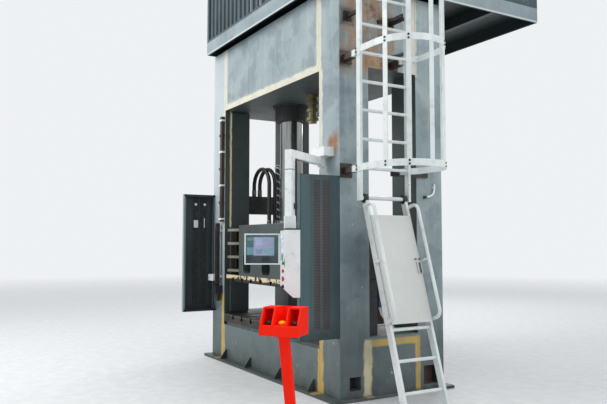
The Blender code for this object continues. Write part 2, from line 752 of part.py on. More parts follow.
def make_guards(paint):
    """Two sheet guards in front of the posts, each with two columns of slots in its skin."""
    front = -HALF_DEPTH - GUARD_REACH
    back = -HALF_DEPTH - GAP
    field_front = front + GUARD_FIELD_INSET
    field_back = back - GUARD_FIELD_INSET
    column = (field_back - field_front - GUARD_SLOT_BAR) / 2
    low = GUARD_BOTTOM + GUARD_RIM
    high = GUARD_TOP - GUARD_FIELD_TOP_RIM
    rows = int((high - low) / GUARD_SLOT_PITCH)
    for side, side_name in ((-1, "left"), (1, "right")):
        outer = side * HALF_WIDTH
        inner = side * (HALF_WIDTH - GUARD_THICKNESS)
        guard = piece(f"guard_{side_name}",
                      block((outer, inner), (front, back), (GUARD_BOTTOM, GUARD_TOP)), paint)
        skin = outer - side * GUARD_SKIN
        cut(guard, block((skin, inner - side * OVERRUN), (front + GUARD_SKIN, back - GUARD_SKIN),
                         (GUARD_BOTTOM + GUARD_SKIN, GUARD_TOP - GUARD_SKIN)))
        slots = []
        for place in spread(rows, GUARD_SLOT_PITCH):
            z = (low + high) / 2 + place
            for start in (field_front, field_back - column):
                slots.append(block((outer + side * OVERRUN, skin - side * OVERRUN / 2),
                                   (start, start + column),
                                   (z - GUARD_SLOT_HEIGHT / 2, z + GUARD_SLOT_HEIGHT / 2)))
        cut(guard, *slots)
        if side < 0:
            rise = GUARD_HANDLE_RISE
            y = front + (back - front) * GUARD_HANDLE_PLACE_SHARE
            top = GUARD_HANDLE_FOOT + GUARD_HANDLE_LENGTH
            seat = skin + GUARD_SKIN / 2
            grip = [(skin - GUARD_SKIN / 2, y, GUARD_HANDLE_FOOT), (seat + rise, y, GUARD_HANDLE_FOOT),
                    (seat + rise, y, top), (skin - GUARD_SKIN / 2, y, top)]
            weld(guard, tube(grip, GUARD_HANDLE_RADIUS, 1))


def make_deck(paint):
    """The platform: a plate with edge beams round it and joists across under it."""
    x_span = (-DECK_LEFT, DECK_RIGHT)
    y_span = (-DECK_FRONT, DECK_BACK)
    bottom = CROWN_TOP + GAP
    deck = piece("platform_deck", block(x_span, y_span, (bottom, DECK_TOP)), paint)
    under = DECK_TOP - DECK_PLATE
    edge = EDGE_BEAM_WEB
    width = (DECK_BACK + DECK_FRONT - 2 * edge - (JOIST_COUNT - 1) * JOIST_WIDTH) / JOIST_COUNT
    bays = []
    for i in range(JOIST_COUNT):
        start = edge - DECK_FRONT + i * (width + JOIST_WIDTH)
        bays.append(block((edge - DECK_LEFT, DECK_RIGHT - edge), (start, start + width),
                          (bottom - OVERRUN, under)))
    cut(deck, *bays)
    seats = [drum((x, 0, bottom - OVERRUN), (x, 0, DECK_TOP + OVERRUN), BARREL_RADIUS + GAP, ROUND_SIDES)
             for x in (-CYLINDER_X, CYLINDER_X)]
    cut(deck, *seats)


def make_screen(name, start, end, paint):
    """A slatted screen on the deck's edge, from a start corner to an end corner."""
    start = Vector(start)
    end = Vector(end)
    way = end - start
    length = way.length
    foot = DECK_TOP + GAP
    half = SCREEN_POST / 2
    place = Matrix.Translation((*start, 0)) @ Matrix.Rotation(math.atan2(way.y, way.x), 4, "Z")
    rail = (foot + SCREEN_HEIGHT - SCREEN_RAIL, foot + SCREEN_HEIGHT)
    screen = piece(name, moved(block((0, length), (-half, half), rail), place), paint)
    weld(screen, moved(block((0, length), (-half, half), (foot, foot + SLAT_DEPTH)), place))
    tall = (foot + SLAT_DEPTH / 2, foot + SCREEN_HEIGHT - SLAT_DEPTH / 2)
    uprights = [block(span, (-half + GAP, half - GAP), tall)
                for span in ((GAP, SCREEN_POST), (length - SCREEN_POST, length - GAP))]
    count = int((length - 2 * SCREEN_POST) / SLAT_PITCH)
    slats = [block((length / 2 + x - SLAT_WIDTH / 2, length / 2 + x + SLAT_WIDTH / 2),
                   (-SLAT_DEPTH / 2, SLAT_DEPTH / 2), tall)
             for x in spread(count, SLAT_PITCH)]
    weld(screen, *[moved(mesh, place) for mesh in uprights + slats])


def make_screens(paint):
    """Screens on all four sides, with a way through beside the ladder."""
    inset = SCREEN_POST / 2
    left = inset - DECK_LEFT
    right = DECK_RIGHT - inset
    front = inset - DECK_FRONT
    back = DECK_BACK - inset
    side = SCREEN_POST / 2 + GAP
    gate_front = LADDER_Y - GATE_WIDTH / 2
    gate_back = LADDER_Y + GATE_WIDTH / 2
    make_screen("screen_front", (left - inset, front), (right + inset, front), paint)
    make_screen("screen_back", (right + inset, back), (left - inset, back), paint)
    make_screen("screen_left", (left, back - side), (left, front + side), paint)
    make_screen("screen_right_back", (right, gate_back), (right, back - side), paint)
    post = (right - inset + GAP, right + inset - GAP)
    weld(bpy.data.objects["screen_front"],
         block(post, (front, gate_front), (DECK_TOP + 2 * GAP, DECK_TOP + SCREEN_HEIGHT)))


def make_power_unit(paint, motor_paint, steel):
    """An oil tank, two pump motors and a valve block on the platform."""
    floor = DECK_TOP + GAP
    half = TANK_LENGTH / 2
    y_span = (TANK_Y - TANK_DEPTH / 2, TANK_Y + TANK_DEPTH / 2)
    lid = floor + TANK_HEIGHT
    tank = piece("oil_tank", block((-half, half), y_span, (floor + TANK_FOOT, lid)), paint)
    lip = TANK_LID
    weld(tank, block((-half - lip, half + lip), (y_span[0] - lip, y_span[1] + lip),
                     (lid - lip / 2, lid + lip)))
    feet = [block((x, x + 2 * TANK_FOOT), y_span, (floor, floor + 2 * TANK_FOOT))
            for x in (-half + TANK_FOOT, half - 3 * TANK_FOOT)]
    weld(tank, *feet)
    weld(tank, drum((0, TANK_Y, lid), (0, TANK_Y, lid + 2 * TANK_FOOT), TANK_FOOT))

    axis_z = floor + MOTOR_RADIUS * MOTOR_AXIS_SHARE
    for x, side_name in ((-MOTOR_SPACING / 2, "left"), (MOTOR_SPACING / 2, "right")):
        start = MOTOR_Y - MOTOR_LENGTH / 2
        end = MOTOR_Y + MOTOR_LENGTH / 2
        rib = MOTOR_RADIUS * MOTOR_RIB_SHARE
        motor = piece(f"pump_motor_{side_name}",
                      drum((x, start, axis_z), (x, end, axis_z), MOTOR_RADIUS, 2 * MOTOR_RIB_COUNT),
                      motor_paint, (x, MOTOR_Y, axis_z))
        fins = []
        for i in range(MOTOR_RIB_COUNT):
            angle = 2 * math.pi * (i + 1 / 4) / MOTOR_RIB_COUNT
            turn = Matrix.Translation((x, 0, axis_z)) @ Matrix.Rotation(angle, 4, "Y")
            fins.append(moved(block((-rib / 2, rib / 2), (start + MOTOR_LENGTH / 5, end - MOTOR_LENGTH / 8),
                                    (MOTOR_RADIUS - rib, MOTOR_RADIUS + rib)), turn))
        weld(motor, *fins)
        weld(motor, drum((x, start - PUMP_LENGTH, axis_z), (x, start + OVERRUN, axis_z), PUMP_RADIUS))
        foot = MOTOR_RADIUS * MOTOR_FOOT_SHARE
        weld(motor, block((x - foot, x + foot), (MOTOR_Y - foot, MOTOR_Y + foot),
                          (floor, axis_z - MOTOR_RADIUS / 2)))

    y = VALVE_Y
    top = floor + VALVE_HEIGHT
    valves = piece("valve_block", block((-VALVE_WIDTH / 2, VALVE_WIDTH / 2),
                                        (y - VALVE_DEPTH / 2, y + VALVE_DEPTH / 2), (floor, top)), steel)
    weld(valves, *[drum((x, y, top - VALVE_STEM_RADIUS), (x, y, top + VALVE_STEM_RISE),
                        VALVE_STEM_RADIUS, TUBE_SIDES)
                   for x in spread(VALVE_STEM_COUNT, VALVE_WIDTH / VALVE_STEM_COUNT)])


def make_upper_ladder(white):
    """Two stiles and the rungs between them, held off the press by four brackets."""
    half = LADDER_WIDTH / 2
    top = DECK_TOP + LADDER_RISE_ABOVE_DECK
    x_span = (LADDER_X - STILE_DEPTH / 2, LADDER_X + STILE_DEPTH / 2)
    stiles = []
    for side in (-1, 1):
        y = LADDER_Y + side * half
        stiles.append(block(x_span, (y - STILE_FACE / 2, y + STILE_FACE / 2), (LADDER_FOOT, top)))
    ladder = piece("ladder_upper", stiles[0], white)
    weld(ladder, stiles[1])
    count = int((top - RUNG_FIRST) / RUNG_PITCH) + 1
    heights = [RUNG_FIRST + i * RUNG_PITCH for i in range(count)]
    weld(ladder, *[drum((LADDER_X, LADDER_Y - half, height), (LADDER_X, LADDER_Y + half, height),
                        RUNG_RADIUS, TUBE_SIDES, True) for height in heights])
    reach = half - STILE_FACE / 2 - GAP
    bar = drum((LADDER_X, LADDER_Y - reach, PIVOT_HEIGHT), (LADDER_X, LADDER_Y + reach, PIVOT_HEIGHT),
               PIVOT_RADIUS)
    piece("pivot_bar", bar, white, (LADDER_X, LADDER_Y, PIVOT_HEIGHT), True)

    wall = HALF_WIDTH + GAP
    pad = WALL_BRACKET_PAD
    thickness = WALL_BRACKET_PAD_THICKNESS
    half_width = WALL_BRACKET_WIDTH / 2
    arms = []
    pads = []
    for height in HOOP_HEIGHTS[:2]:
        z_span = (height - WALL_BRACKET_HEIGHT / 2, height + WALL_BRACKET_HEIGHT / 2)
        on_crown = height + pad / 2 > CROWN_BOTTOM
        pad_foot = max(height - pad / 2, CROWN_BOTTOM + GAP) if on_crown else height - pad / 2
        for side in (-1, 1):
            y = LADDER_Y + side * half
            arms.append(block((wall + thickness / 2, x_span[0] + STILE_DEPTH / 10),
                              (y - half_width, y + half_width), z_span))
            if side > 0 and not on_crown:
                pads.append(block((wall, wall + 2 * thickness), (y, BAY_Y + pad),
                                  (z_span[0] + thickness / 2, z_span[1] - thickness / 2)))
            else:
                pads.append(block((wall, wall + thickness), (y - pad / 2, y + pad / 2),
                                  (pad_foot, height + pad / 2)))
    weld(ladder, *arms)
    weld(ladder, *pads)


def strip_outline(path, thickness):
    """A path in the plane, given a thickness to its left."""
    outer = []
    for i, point in enumerate(path):
        before = Vector(path[max(i - 1, 0)])
        after = Vector(path[min(i + 1, len(path) - 1)])
        way = (after - before).normalized()
        outer.append((point[0] - way.y * thickness, point[1] + way.x * thickness))
    return list(path) + outer[::-1]


def make_cage(white):
    """Hoops bolted to the stiles, joined by upright strips."""
    half = LADDER_WIDTH / 2 + STILE_FACE / 2 + GAP
    flare = CAGE_RADIUS - half
    path = [(LADDER_X, LADDER_Y - half), (LADDER_X + STILE_DEPTH / 2, LADDER_Y - half),
            (LADDER_X + STILE_DEPTH + flare, LADDER_Y - CAGE_RADIUS)]
    path += arc((CAGE_CENTRE_X, LADDER_Y), CAGE_RADIUS, -90, 90, 12)
    path += [(LADDER_X + STILE_DEPTH + flare, LADDER_Y + CAGE_RADIUS),
             (LADDER_X + STILE_DEPTH / 2, LADDER_Y + half), (LADDER_X, LADDER_Y + half)]
    outline = strip_outline(path, -HOOP_THICKNESS)
    hoops = [prism(outline, HOOP_WIDTH, Matrix.Translation((0, 0, height))) for height in HOOP_HEIGHTS]
    cage = piece("ladder_cage", hoops[0], white)
    for hoop in hoops[1:]:
        weld(cage, hoop)
    low = HOOP_HEIGHTS[0] - HOOP_WIDTH / 2 + GAP
    high = HOOP_HEIGHTS[-1] + HOOP_WIDTH / 2 - GAP
    radius = CAGE_RADIUS + HOOP_THICKNESS / 2
    strips = []
    for angle in CAGE_STRIP_ANGLES:
        turn = Matrix.Translation((CAGE_CENTRE_X, LADDER_Y, 0))
        turn = turn @ Matrix.Rotation(math.radians(angle), 4, "Z")
        strips.append(moved(block((radius - CAGE_STRIP_THICKNESS - HOOP_THICKNESS / 2, radius),
                                  (-CAGE_STRIP_WIDTH / 2, CAGE_STRIP_WIDTH / 2), (low, high)), turn))
    weld(cage, *strips)


def make_leaning_ladder(white):
    """The lower ladder, hung on the pivot bar and leaning out to the floor, with its handrails."""
    pivot = (LADDER_X, LADDER_Y, PIVOT_HEIGHT)
    lean = turn_about(pivot, -STEP_LEAN, "Y")
    slope = math.radians(STEP_LEAN)
    half = STEP_WIDTH / 2
    deep = STEP_STILE_DEPTH / 2
    length = (PIVOT_HEIGHT - STEP_FOOT_CLEARANCE - deep * math.sin(slope)) / math.cos(slope)
    foot = PIVOT_HEIGHT - length
    stiles = []
    for side in (-1, 1):
        y = LADDER_Y + side * half
        stiles.append(block((LADDER_X - deep, LADDER_X + deep),
                            (y - STEP_STILE_FACE / 2, y + STEP_STILE_FACE / 2),
                            (foot, PIVOT_HEIGHT - HOOK_RADIUS / 2)))
    ladder = piece("ladder_lower", moved(stiles[0], lean), white, pivot)
    weld(ladder, moved(stiles[1], lean))
    eyes = []
    holes = []
    for side in (-1, 1):
        y = LADDER_Y + side * half
        wide = STEP_STILE_FACE / 2 + HOOK_THICKNESS / 3
        eyes.append(drum((LADDER_X, y - wide, PIVOT_HEIGHT), (LADDER_X, y + wide, PIVOT_HEIGHT),
                         HOOK_RADIUS))
        holes.append(drum((LADDER_X, y - 2 * wide, PIVOT_HEIGHT), (LADDER_X, y + 2 * wide, PIVOT_HEIGHT),
                          turning_hole(PIVOT_RADIUS)))
    weld(ladder, *eyes)
    cut(ladder, *holes)

    outer = half + STEP_STILE_FACE / 2
    hinge_x = LADDER_X + deep + GAP + COVER_HINGE_RADIUS
    cover_half = outer - HANDRAIL_SEAT - COVER_HINGE_RADIUS - RUNNING_GAP
    hinge_y = LADDER_Y - cover_half
    top = PIVOT_HEIGHT - COVER_TOP
    bottom = top - COVER_LENGTH
    origin = lean @ Vector((hinge_x, hinge_y, top))
    plate = block((hinge_x, hinge_x + COVER_THICKNESS), (hinge_y, LADDER_Y + cover_half), (bottom, top))
    cover = piece("ladder_cover", moved(plate, lean), white, origin)
    knuckle = drum((hinge_x, hinge_y, bottom + GAP), (hinge_x, hinge_y, top - GAP),
                   COVER_HINGE_RADIUS, TUBE_SIDES)
    weld(cover, moved(knuckle, lean))
    middle = (top + bottom) / 2
    hasp = block((hinge_x + COVER_THICKNESS / 2, hinge_x + COVER_THICKNESS + HASP_THICKNESS),
                 (LADDER_Y + cover_half - HASP_WIDTH, LADDER_Y + cover_half - GAP),
                 (middle - HASP_HEIGHT / 2, middle + HASP_HEIGHT / 2))
    weld(cover, moved(hasp, lean))

    rail_top = PIVOT_HEIGHT - HANDRAIL_TOP
    rail_foot = rail_top - HANDRAIL_LENGTH
    bend = HANDRAIL_BEND
    out = HANDRAIL_OUT
    centre = (rail_top + rail_foot) / 2
    for side in (-1, 1):
        y = LADDER_Y + side * (outer + HANDRAIL_RADIUS - HANDRAIL_SEAT)
        path = [(0, rail_top)] + arc((out - bend, rail_top - bend), bend, 90, 0, 4)
        path += arc((out - bend, rail_foot + bend), bend, 0, -90, 4) + [(0, rail_foot)]
        points = [(LADDER_X + x, y, z) for x, z in path]
        weld(ladder, moved(tube(points, HANDRAIL_RADIUS, 1), lean))
        stay_y = y - side * HANDRAIL_SEAT
        weld(ladder, moved(drum((LADDER_X, stay_y, centre), (LADDER_X + out, stay_y, centre),
                                HANDRAIL_RADIUS * HANDRAIL_STAY_SHARE, TUBE_SIDES), lean))

    rungs = []
    count = int((length - STEP_RUNG_PITCH) / STEP_RUNG_PITCH)
    for i in range(count):
        height = foot + STEP_RUNG_PITCH * (FIRST_STEP_SHARE + i)
        rungs.append(moved(drum((LADDER_X, LADDER_Y - half, height), (LADDER_X, LADDER_Y + half, height),
                                RUNG_RADIUS, TUBE_SIDES, True), lean))
    weld(ladder, *rungs)


def make_pendant(white, black, red, green, glass, screen_paint):
    """The control box on its swing arm, with a hinged clear cover standing open."""
    pivot_y = -HALF_DEPTH - BRACKET_REACH
    pivot = Vector((BRACKET_X, pivot_y, ARM_HEIGHT))
    half = ARM_SECTION / 2
    arm_top = ARM_HEIGHT + ARM_PIVOT_HEIGHT / 2
    post_face = -HALF_DEPTH - GAP
    bracket = piece("arm_bracket", block((BRACKET_X - BRACKET_WIDTH / 2, BRACKET_X + BRACKET_WIDTH / 2),
                                         (post_face, pivot_y - ARM_PIVOT_RADIUS),
                                         (arm_top + GAP, arm_top + BRACKET_HEIGHT)), white)
    weld(bracket, drum((BRACKET_X, pivot_y, ARM_HEIGHT - ARM_PIVOT_HEIGHT / 2 - OVERRUN),
                       (BRACKET_X, pivot_y, arm_top + OVERRUN), ARM_PIVOT_RADIUS / 2))

    swing = turn_about(pivot, ARM_TURN, "Z")
    beam = block((BRACKET_X - half, BRACKET_X + half), (pivot_y, pivot_y - ARM_LENGTH - half),
                 (ARM_HEIGHT - half, ARM_HEIGHT + half))
    arm = piece("swing_arm", moved(beam, swing), white, pivot)
    elbow_y = pivot_y - ARM_LENGTH
    drop = block((BRACKET_X - half + GAP, BRACKET_X + half - GAP), (elbow_y - half + GAP, elbow_y + half),
                 (DROP_FOOT, ARM_HEIGHT))
    weld(arm, moved(drop, swing))
    weld(arm, drum((BRACKET_X, pivot_y, ARM_HEIGHT - ARM_PIVOT_HEIGHT / 2), (BRACKET_X, pivot_y, arm_top),
                   ARM_PIVOT_RADIUS))
    cut(arm, drum((BRACKET_X, pivot_y, ARM_HEIGHT - ARM_PIVOT_HEIGHT),
                  (BRACKET_X, pivot_y, arm_top + OVERRUN), turning_hole(ARM_PIVOT_RADIUS / 2)))

    elbow = swing @ Vector((BRACKET_X, elbow_y, 0))
    place = Matrix.Translation((elbow.x, elbow.y, 0)) @ Matrix.Rotation(math.radians(BOX_TURN), 4, "Z")
    origin = (elbow.x, elbow.y, BOX_TOP)
    front = -BOX_DEPTH / 2
    low = BOX_TOP - BOX_HEIGHT
    outline = [(-front, low), (-front, BOX_TOP), (front, BOX_TOP), (front, low + BOX_CHAMFER),
               (front + BOX_CHAMFER, low)]
    box = piece("control_box", moved(prism(outline, BOX_WIDTH, SIDEWAYS), place), white, origin)
    collar = COLLAR / 2
    neck = block((-collar, collar), (-collar, collar), (BOX_TOP - OVERRUN, DROP_FOOT - GAP))
    weld(box, moved(neck, place))
    screen_left = -BOX_WIDTH / 2 + SCREEN_TOP_GAP
    screen_top = BOX_TOP - SCREEN_TOP_GAP
    screen_right = screen_left + SCREEN_WIDTH
    screen_low = screen_top - SCREEN_FIELD_HEIGHT
    recess = block((screen_left - GAP, screen_right + GAP), (front - OVERRUN, front + SCREEN_THICKNESS),
                   (screen_low - GAP, screen_top + GAP))
    cut(box, moved(recess, place))
    display = block((screen_left, screen_right), (front, front + SCREEN_THICKNESS - GAP),
                    (screen_low, screen_top))
    piece("touch_screen", moved(display, place), screen_paint, origin)

    column_x = BOX_WIDTH / 2 - CONTROL_EDGE
    controls = (("start_button", green, BUTTON_RADIUS), ("stop_button", red, BUTTON_RADIUS),
                ("emergency_stop", red, STOP_BUTTON_RADIUS), ("mode_selector", black, BUTTON_RADIUS))
    start_z = low + BOX_CHAMFER + BEZEL_RADIUS + (len(controls) - 1) * CONTROL_PITCH
    stem = BUTTON_RADIUS * STEM_SHARE
    for i, (name, surface, radius) in enumerate(controls):
        z = start_z - i * CONTROL_PITCH
        weld(box, moved(drum((column_x, front + OVERRUN, z), (column_x, front - BEZEL_HEIGHT, z),
                             BEZEL_RADIUS), place))
        cut(box, moved(drum((column_x, front + OVERRUN, z), (column_x, front - OVERRUN, z),
                            turning_hole(stem)), place))
        spot = place @ Vector((column_x, front - BEZEL_HEIGHT, z))
        head_foot = front - BEZEL_HEIGHT - BUTTON_TRAVEL - GAP
        if name == "mode_selector":
            head_foot = front - BEZEL_HEIGHT - GAP
        head_top = head_foot - BUTTON_STANDOFF
        button = piece(name, moved(drum((column_x, head_foot, z), (column_x, head_top, z), radius), place),
                       surface, spot, True)
        weld(button, moved(drum((column_x, head_foot - BUTTON_TRAVEL, z), (column_x, front + OVERRUN / 2, z),
                                stem), place))
        if name == "mode_selector":
            lever = block((column_x - stem / 2, column_x + stem / 2),
                          (head_top - BUTTON_STANDOFF / 2, head_foot - GAP),
                          (z - SELECTOR_LENGTH / 2, z + SELECTOR_LENGTH / 2))
            weld(button, moved(lever, place))

    hinge_x = -BOX_WIDTH / 2
    radius = CLEAR_COVER_THICKNESS / 2
    hinge_y = front - GAP - radius
    spot = place @ Vector((hinge_x, hinge_y, screen_top))
    opened = turn_about(spot, -CLEAR_COVER_OPEN, "Z") @ place
    cover_top = screen_top + OVERRUN / 2
    cover_low = cover_top - CLEAR_COVER_HEIGHT
    rim = CLEAR_COVER_THICKNESS
    sheet = block((hinge_x, hinge_x + CLEAR_COVER_WIDTH), (hinge_y - radius, hinge_y + radius),
                  (cover_low, cover_top))
    cover = piece("clear_cover_frame", moved(sheet, opened), white, spot)
    weld(cover, drum((spot.x, spot.y, cover_low + GAP), (spot.x, spot.y, cover_top - GAP), radius))
    hole = ((hinge_x + rim, hinge_x + CLEAR_COVER_WIDTH - rim), (cover_low + rim, cover_top - rim))
    cut(cover, moved(block(hole[0], (hinge_y - OVERRUN, hinge_y + OVERRUN), hole[1]), opened))
    pane = ((hole[0][0] + GAP, hole[0][1] - GAP), (hole[1][0] + GAP, hole[1][1] - GAP))
    sheet = block(pane[0], (hinge_y - radius / 2, hinge_y + radius / 2), pane[1])
    piece("clear_cover_pane", moved(sheet, opened), glass, spot)


def make_console(red, black, yellow):
    """The two-hand console on its leaning pedestal, in front of the press."""
    turn = Matrix.Translation((CONSOLE_X, CONSOLE_Y, 0))
    turn = turn @ Matrix.Rotation(math.radians(CONSOLE_TURN), 4, "Z")
    foot = CONSOLE_FOOT / 2
    wide = COLUMN_WIDTH / 2
    deep = COLUMN_DEPTH / 2
    tray_low = TRAY_HEIGHT
    sunk = CONSOLE_FOOT_THICKNESS / 2
    shear = [(COLUMN_LEAN - deep, sunk), (COLUMN_LEAN + deep, sunk),
             (deep, tray_low - GAP), (-deep, tray_low - GAP)]
    stand = piece("console_pedestal", moved(prism(shear, COLUMN_WIDTH, SIDEWAYS), turn), red)
    plate = block((-foot, foot), (COLUMN_LEAN - foot, COLUMN_LEAN + foot), (0, CONSOLE_FOOT_THICKNESS))
    weld(stand, moved(plate, turn))

    half_x = TRAY_WIDTH / 2
    half_y = TRAY_DEPTH / 2
    deck = tray_low + TRAY_BASE
    tray = piece("console_tray", moved(block((-half_x, half_x), (-half_y, half_y), (tray_low, deck)), turn),
                 red)
    hood_top = deck + TRAY_BACK
    wall = TRAY_WALL
    inner = 2 * PALM_PLACE - half_x
    slope = half_y * TRAY_SLOPE_SHARE
    side_outline = [(-half_y + wall, deck - wall), (half_y - GAP, deck - wall), (half_y - GAP, hood_top),
                    (-slope, hood_top), (-half_y + wall, deck + wall)]
    walls = [prism(side_outline, wall, Matrix.Translation((x, 0, 0)) @ SIDEWAYS)
             for x in (-half_x + wall / 2 + GAP, -inner, inner, half_x - wall / 2 - GAP)]
    weld(tray, *[moved(mesh, turn) for mesh in walls])
    roofs = [block((side * (inner - wall / 2 + GAP), side * (half_x - 2 * GAP)),
                   (wall - slope, half_y - 2 * GAP), (hood_top - wall - GAP, hood_top - GAP))
             for side in (-1, 1)]
    weld(tray, *[moved(mesh, turn) for mesh in roofs])
    back = block((2 * GAP - half_x, half_x - 2 * GAP), (half_y - wall, half_y - 2 * GAP),
                 (deck - wall / 2, hood_top - 2 * GAP))
    weld(tray, moved(back, turn))
    spots = (("palm_button_left", -PALM_PLACE, black), ("palm_button_right", PALM_PLACE, black),
             ("console_stop", 0, yellow))
    for name, x, surface in spots:
        y = -half_y * PALM_FORWARD_SHARE
        bore = drum((x, y, deck + OVERRUN), (x, y, deck - 2 * OVERRUN), PALM_STEM_RADIUS + GAP)
        cut(tray, moved(bore, turn))
        origin = turn @ Vector((x, y, deck))
        head = deck + GAP + PALM_TRAVEL
        profile = [(0, head + PALM_RISE),
                   (PALM_RADIUS * PALM_CROWN_SHARE, head + PALM_RISE * PALM_SHOULDER_SHARE),
                   (PALM_RADIUS, head + PALM_RISE / 2), (PALM_RADIUS * PALM_FOOT_SHARE, head), (0, head)]
        button = piece(name, moved(turned(profile, (x, y, 0), SMALL_SIDES), turn), surface, origin, True)
        stem = drum((x, y, deck - OVERRUN), (x, y, head + PALM_RISE / 3), PALM_STEM_RADIUS)
        weld(button, moved(stem, turn))


def loop_path(fixed, moving, fixed_z, moving_z, apex, bend_points=10):
    """An upside-down U between two upright legs."""
    fixed = Vector(fixed)
    moving = Vector(moving)
    middle = (fixed + moving) / 2
    reach = (moving - fixed) / 2
    shoulder = apex - reach.length
    path = [(*fixed, fixed_z), (*fixed, (fixed_z + shoulder) / 2)]
    for i in range(bend_points + 1):
        angle = math.pi * (1 - i / bend_points)
        spot = middle + reach * math.cos(angle)
        path.append((*spot, shoulder + reach.length * math.sin(angle)))
    legs = 4
    path += [(*moving, shoulder + (moving_z - shoulder) * i / legs) for i in range(1, legs + 1)]
    return path


def make_hoses(black):
    """Looped hoses from two boxes in the left bay to the slide."""
    x_span = (HOSE_FIXED_X - HOSE_BOX_WIDTH / 2, HOSE_FIXED_X + HOSE_BOX_WIDTH / 2)
    for face, face_name in ((-1, "front"), (1, "back")):
        far = face * (BAY_Y - GAP)
        piece(f"hose_box_{face_name}",
              block(x_span, (far, far - face * HOSE_BOX_DEPTH), (HOSE_BOX_FOOT, HOSE_BOX_TOP)), black)
    start = HOSE_BOX_TOP + GAP
    seat = SLIDE_TOP - RIB_FOOT / 2 + GAP
    for i, place in enumerate(spread(2, HOSE_SPACING)):
        y = HOSE_Y + place
        path = loop_path((HOSE_FIXED_X, y), (HOSE_MOVING_X, y), start, seat, HOSE_BOX_TOP + HOSE_RISE)
        piece(f"hose_{i + 1}", tube(path, HOSE_RADIUS), black, (HOSE_MOVING_X, y, seat), True)
    path = loop_path((HOSE_FIXED_X, SPIRAL_HOSE_FIXED_Y), (SPIRAL_HOSE_X, 0), start, seat,
                     HOSE_BOX_TOP + SPIRAL_HOSE_RISE)
    piece("spiral_hose", tube(path, SPIRAL_HOSE_RADIUS), black, (SPIRAL_HOSE_X, 0, seat), True)


def make_front_fittings(black, brown):
    """The duct on the left post, the light curtains, the air unit and the junction box."""
    face = -HALF_DEPTH - GAP
    half = DUCT_WIDTH / 2
    duct = piece("cable_duct", block((DUCT_X - half, DUCT_X + half), (face, face - DUCT_DEPTH),
                                     (DUCT_LOW, DUCT_TOP)), brown)
    clips = []
    count = int(DUCT_LENGTH / DUCT_CLIP_PITCH)
    lift = DUCT_CLIP / 4
    for place in spread(count, DUCT_CLIP_PITCH):
        z = (DUCT_TOP + DUCT_LOW) / 2 + place
        clips.append(block((DUCT_X - half - DUCT_CLIP, DUCT_X + half + lift),
                           (face - GAP, face - DUCT_DEPTH - lift),
                           (z - DUCT_CLIP_HEIGHT / 2, z + DUCT_CLIP_HEIGHT / 2)))
    weld(duct, *clips)
    for side, side_name in ((-1, "left"), (1, "right")):
        x = side * (BAY_X + CURTAIN_WIDTH * 2)
        span = (x - CURTAIN_WIDTH / 2, x + CURTAIN_WIDTH / 2)
        curtain = piece(f"light_curtain_{side_name}",
                        block(span, (face - CURTAIN_FOOT / 2, face - CURTAIN_FOOT / 2 - CURTAIN_DEPTH),
                              (CURTAIN_BOTTOM, CURTAIN_TOP)), black)
        feet = [block((x - CURTAIN_WIDTH, x + CURTAIN_WIDTH / 4), (face, face - CURTAIN_FOOT),
                      (z - CURTAIN_WIDTH / 4, z + CURTAIN_WIDTH / 4))
                for z in (CURTAIN_BOTTOM + 2 * CURTAIN_WIDTH, CURTAIN_TOP - 2 * CURTAIN_WIDTH)]
        weld(curtain, *feet)
    unit_x = -BAY_X - 2 * CURTAIN_WIDTH
    top = CURTAIN_BOTTOM - OVERRUN
    height = AIR_UNIT_HEIGHT
    width = height / 2
    unit = piece("air_unit", block((unit_x - width / 2, unit_x + width / 2), (face, face - width),
                                   (top - height / 2, top)), black)
    weld(unit, drum((unit_x, face - width / 2, top - height), (unit_x, face - width / 2, top - height / 3),
                    width / 3))
    low = TABLE_HEIGHT + GAP
    far = GAP - BAY_Y
    piece("junction_box", block((SIDE_BOX_X - SIDE_BOX_WIDTH / 2, SIDE_BOX_X + SIDE_BOX_WIDTH / 2),
                                (far, far + SIDE_BOX_DEPTH), (low, low + SIDE_BOX_HEIGHT)), black)


def main():
    clear_scene()
    new_collection(PARTS)
    new_collection(CUTTERS)
    grey = material("frame_paint", (0.34, 0.41, 0.44), 0.55)
    dark_grey = material("guard_paint", (0.10, 0.17, 0.19), 0.5)
    deck_grey = material("deck_paint", (0.36, 0.44, 0.50), 0.5)
    steel = material("table_steel", (0.22, 0.23, 0.22), 0.45, 0.8)
    dark = material("dark_steel", (0.03, 0.035, 0.04), 0.45, 0.6)
    chrome = material("chrome", (0.75, 0.77, 0.78), 0.12, 1.0)
    bronze = material("bronze", (0.28, 0.2, 0.08), 0.4, 0.8)
    white = material("white_paint", (0.78, 0.79, 0.78), 0.4)
    black = material("black_rubber", (0.015, 0.015, 0.016), 0.6)
    brown = material("duct_brown", (0.06, 0.045, 0.035), 0.6)
    red = material("console_red", (0.75, 0.02, 0.01), 0.35)
    green = material("button_green", (0.0, 0.35, 0.12), 0.3)
    yellow = material("stop_yellow", (0.8, 0.5, 0.0), 0.35)
    glass = material("clear_cover", (0.75, 0.85, 0.9), 0.05)
    lit = material("screen_face", (0.25, 0.45, 0.6), 0.1)
    make_posts(grey)
    make_crown(grey)
    make_bed(grey)
    make_table(steel)
    make_base(grey)
    make_cylinders(dark, chrome)
    make_stop_cylinder(bronze)
    make_slide(grey, steel, bronze)
    make_guards(dark_grey)
    make_deck(deck_grey)
    make_screens(dark_grey)
    make_power_unit(deck_grey, grey, steel)
    make_upper_ladder(white)
    make_cage(white)
    make_leaning_ladder(white)
    make_pendant(white, black, red, green, glass, lit)
    make_console(red, black, yellow)
    make_hoses(black)
    make_front_fittings(black, brown)


main()
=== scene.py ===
"""Looks of the hydraulic press: camera, light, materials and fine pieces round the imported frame."""
import math

import bmesh
import bpy
from mathutils import Matrix, Vector


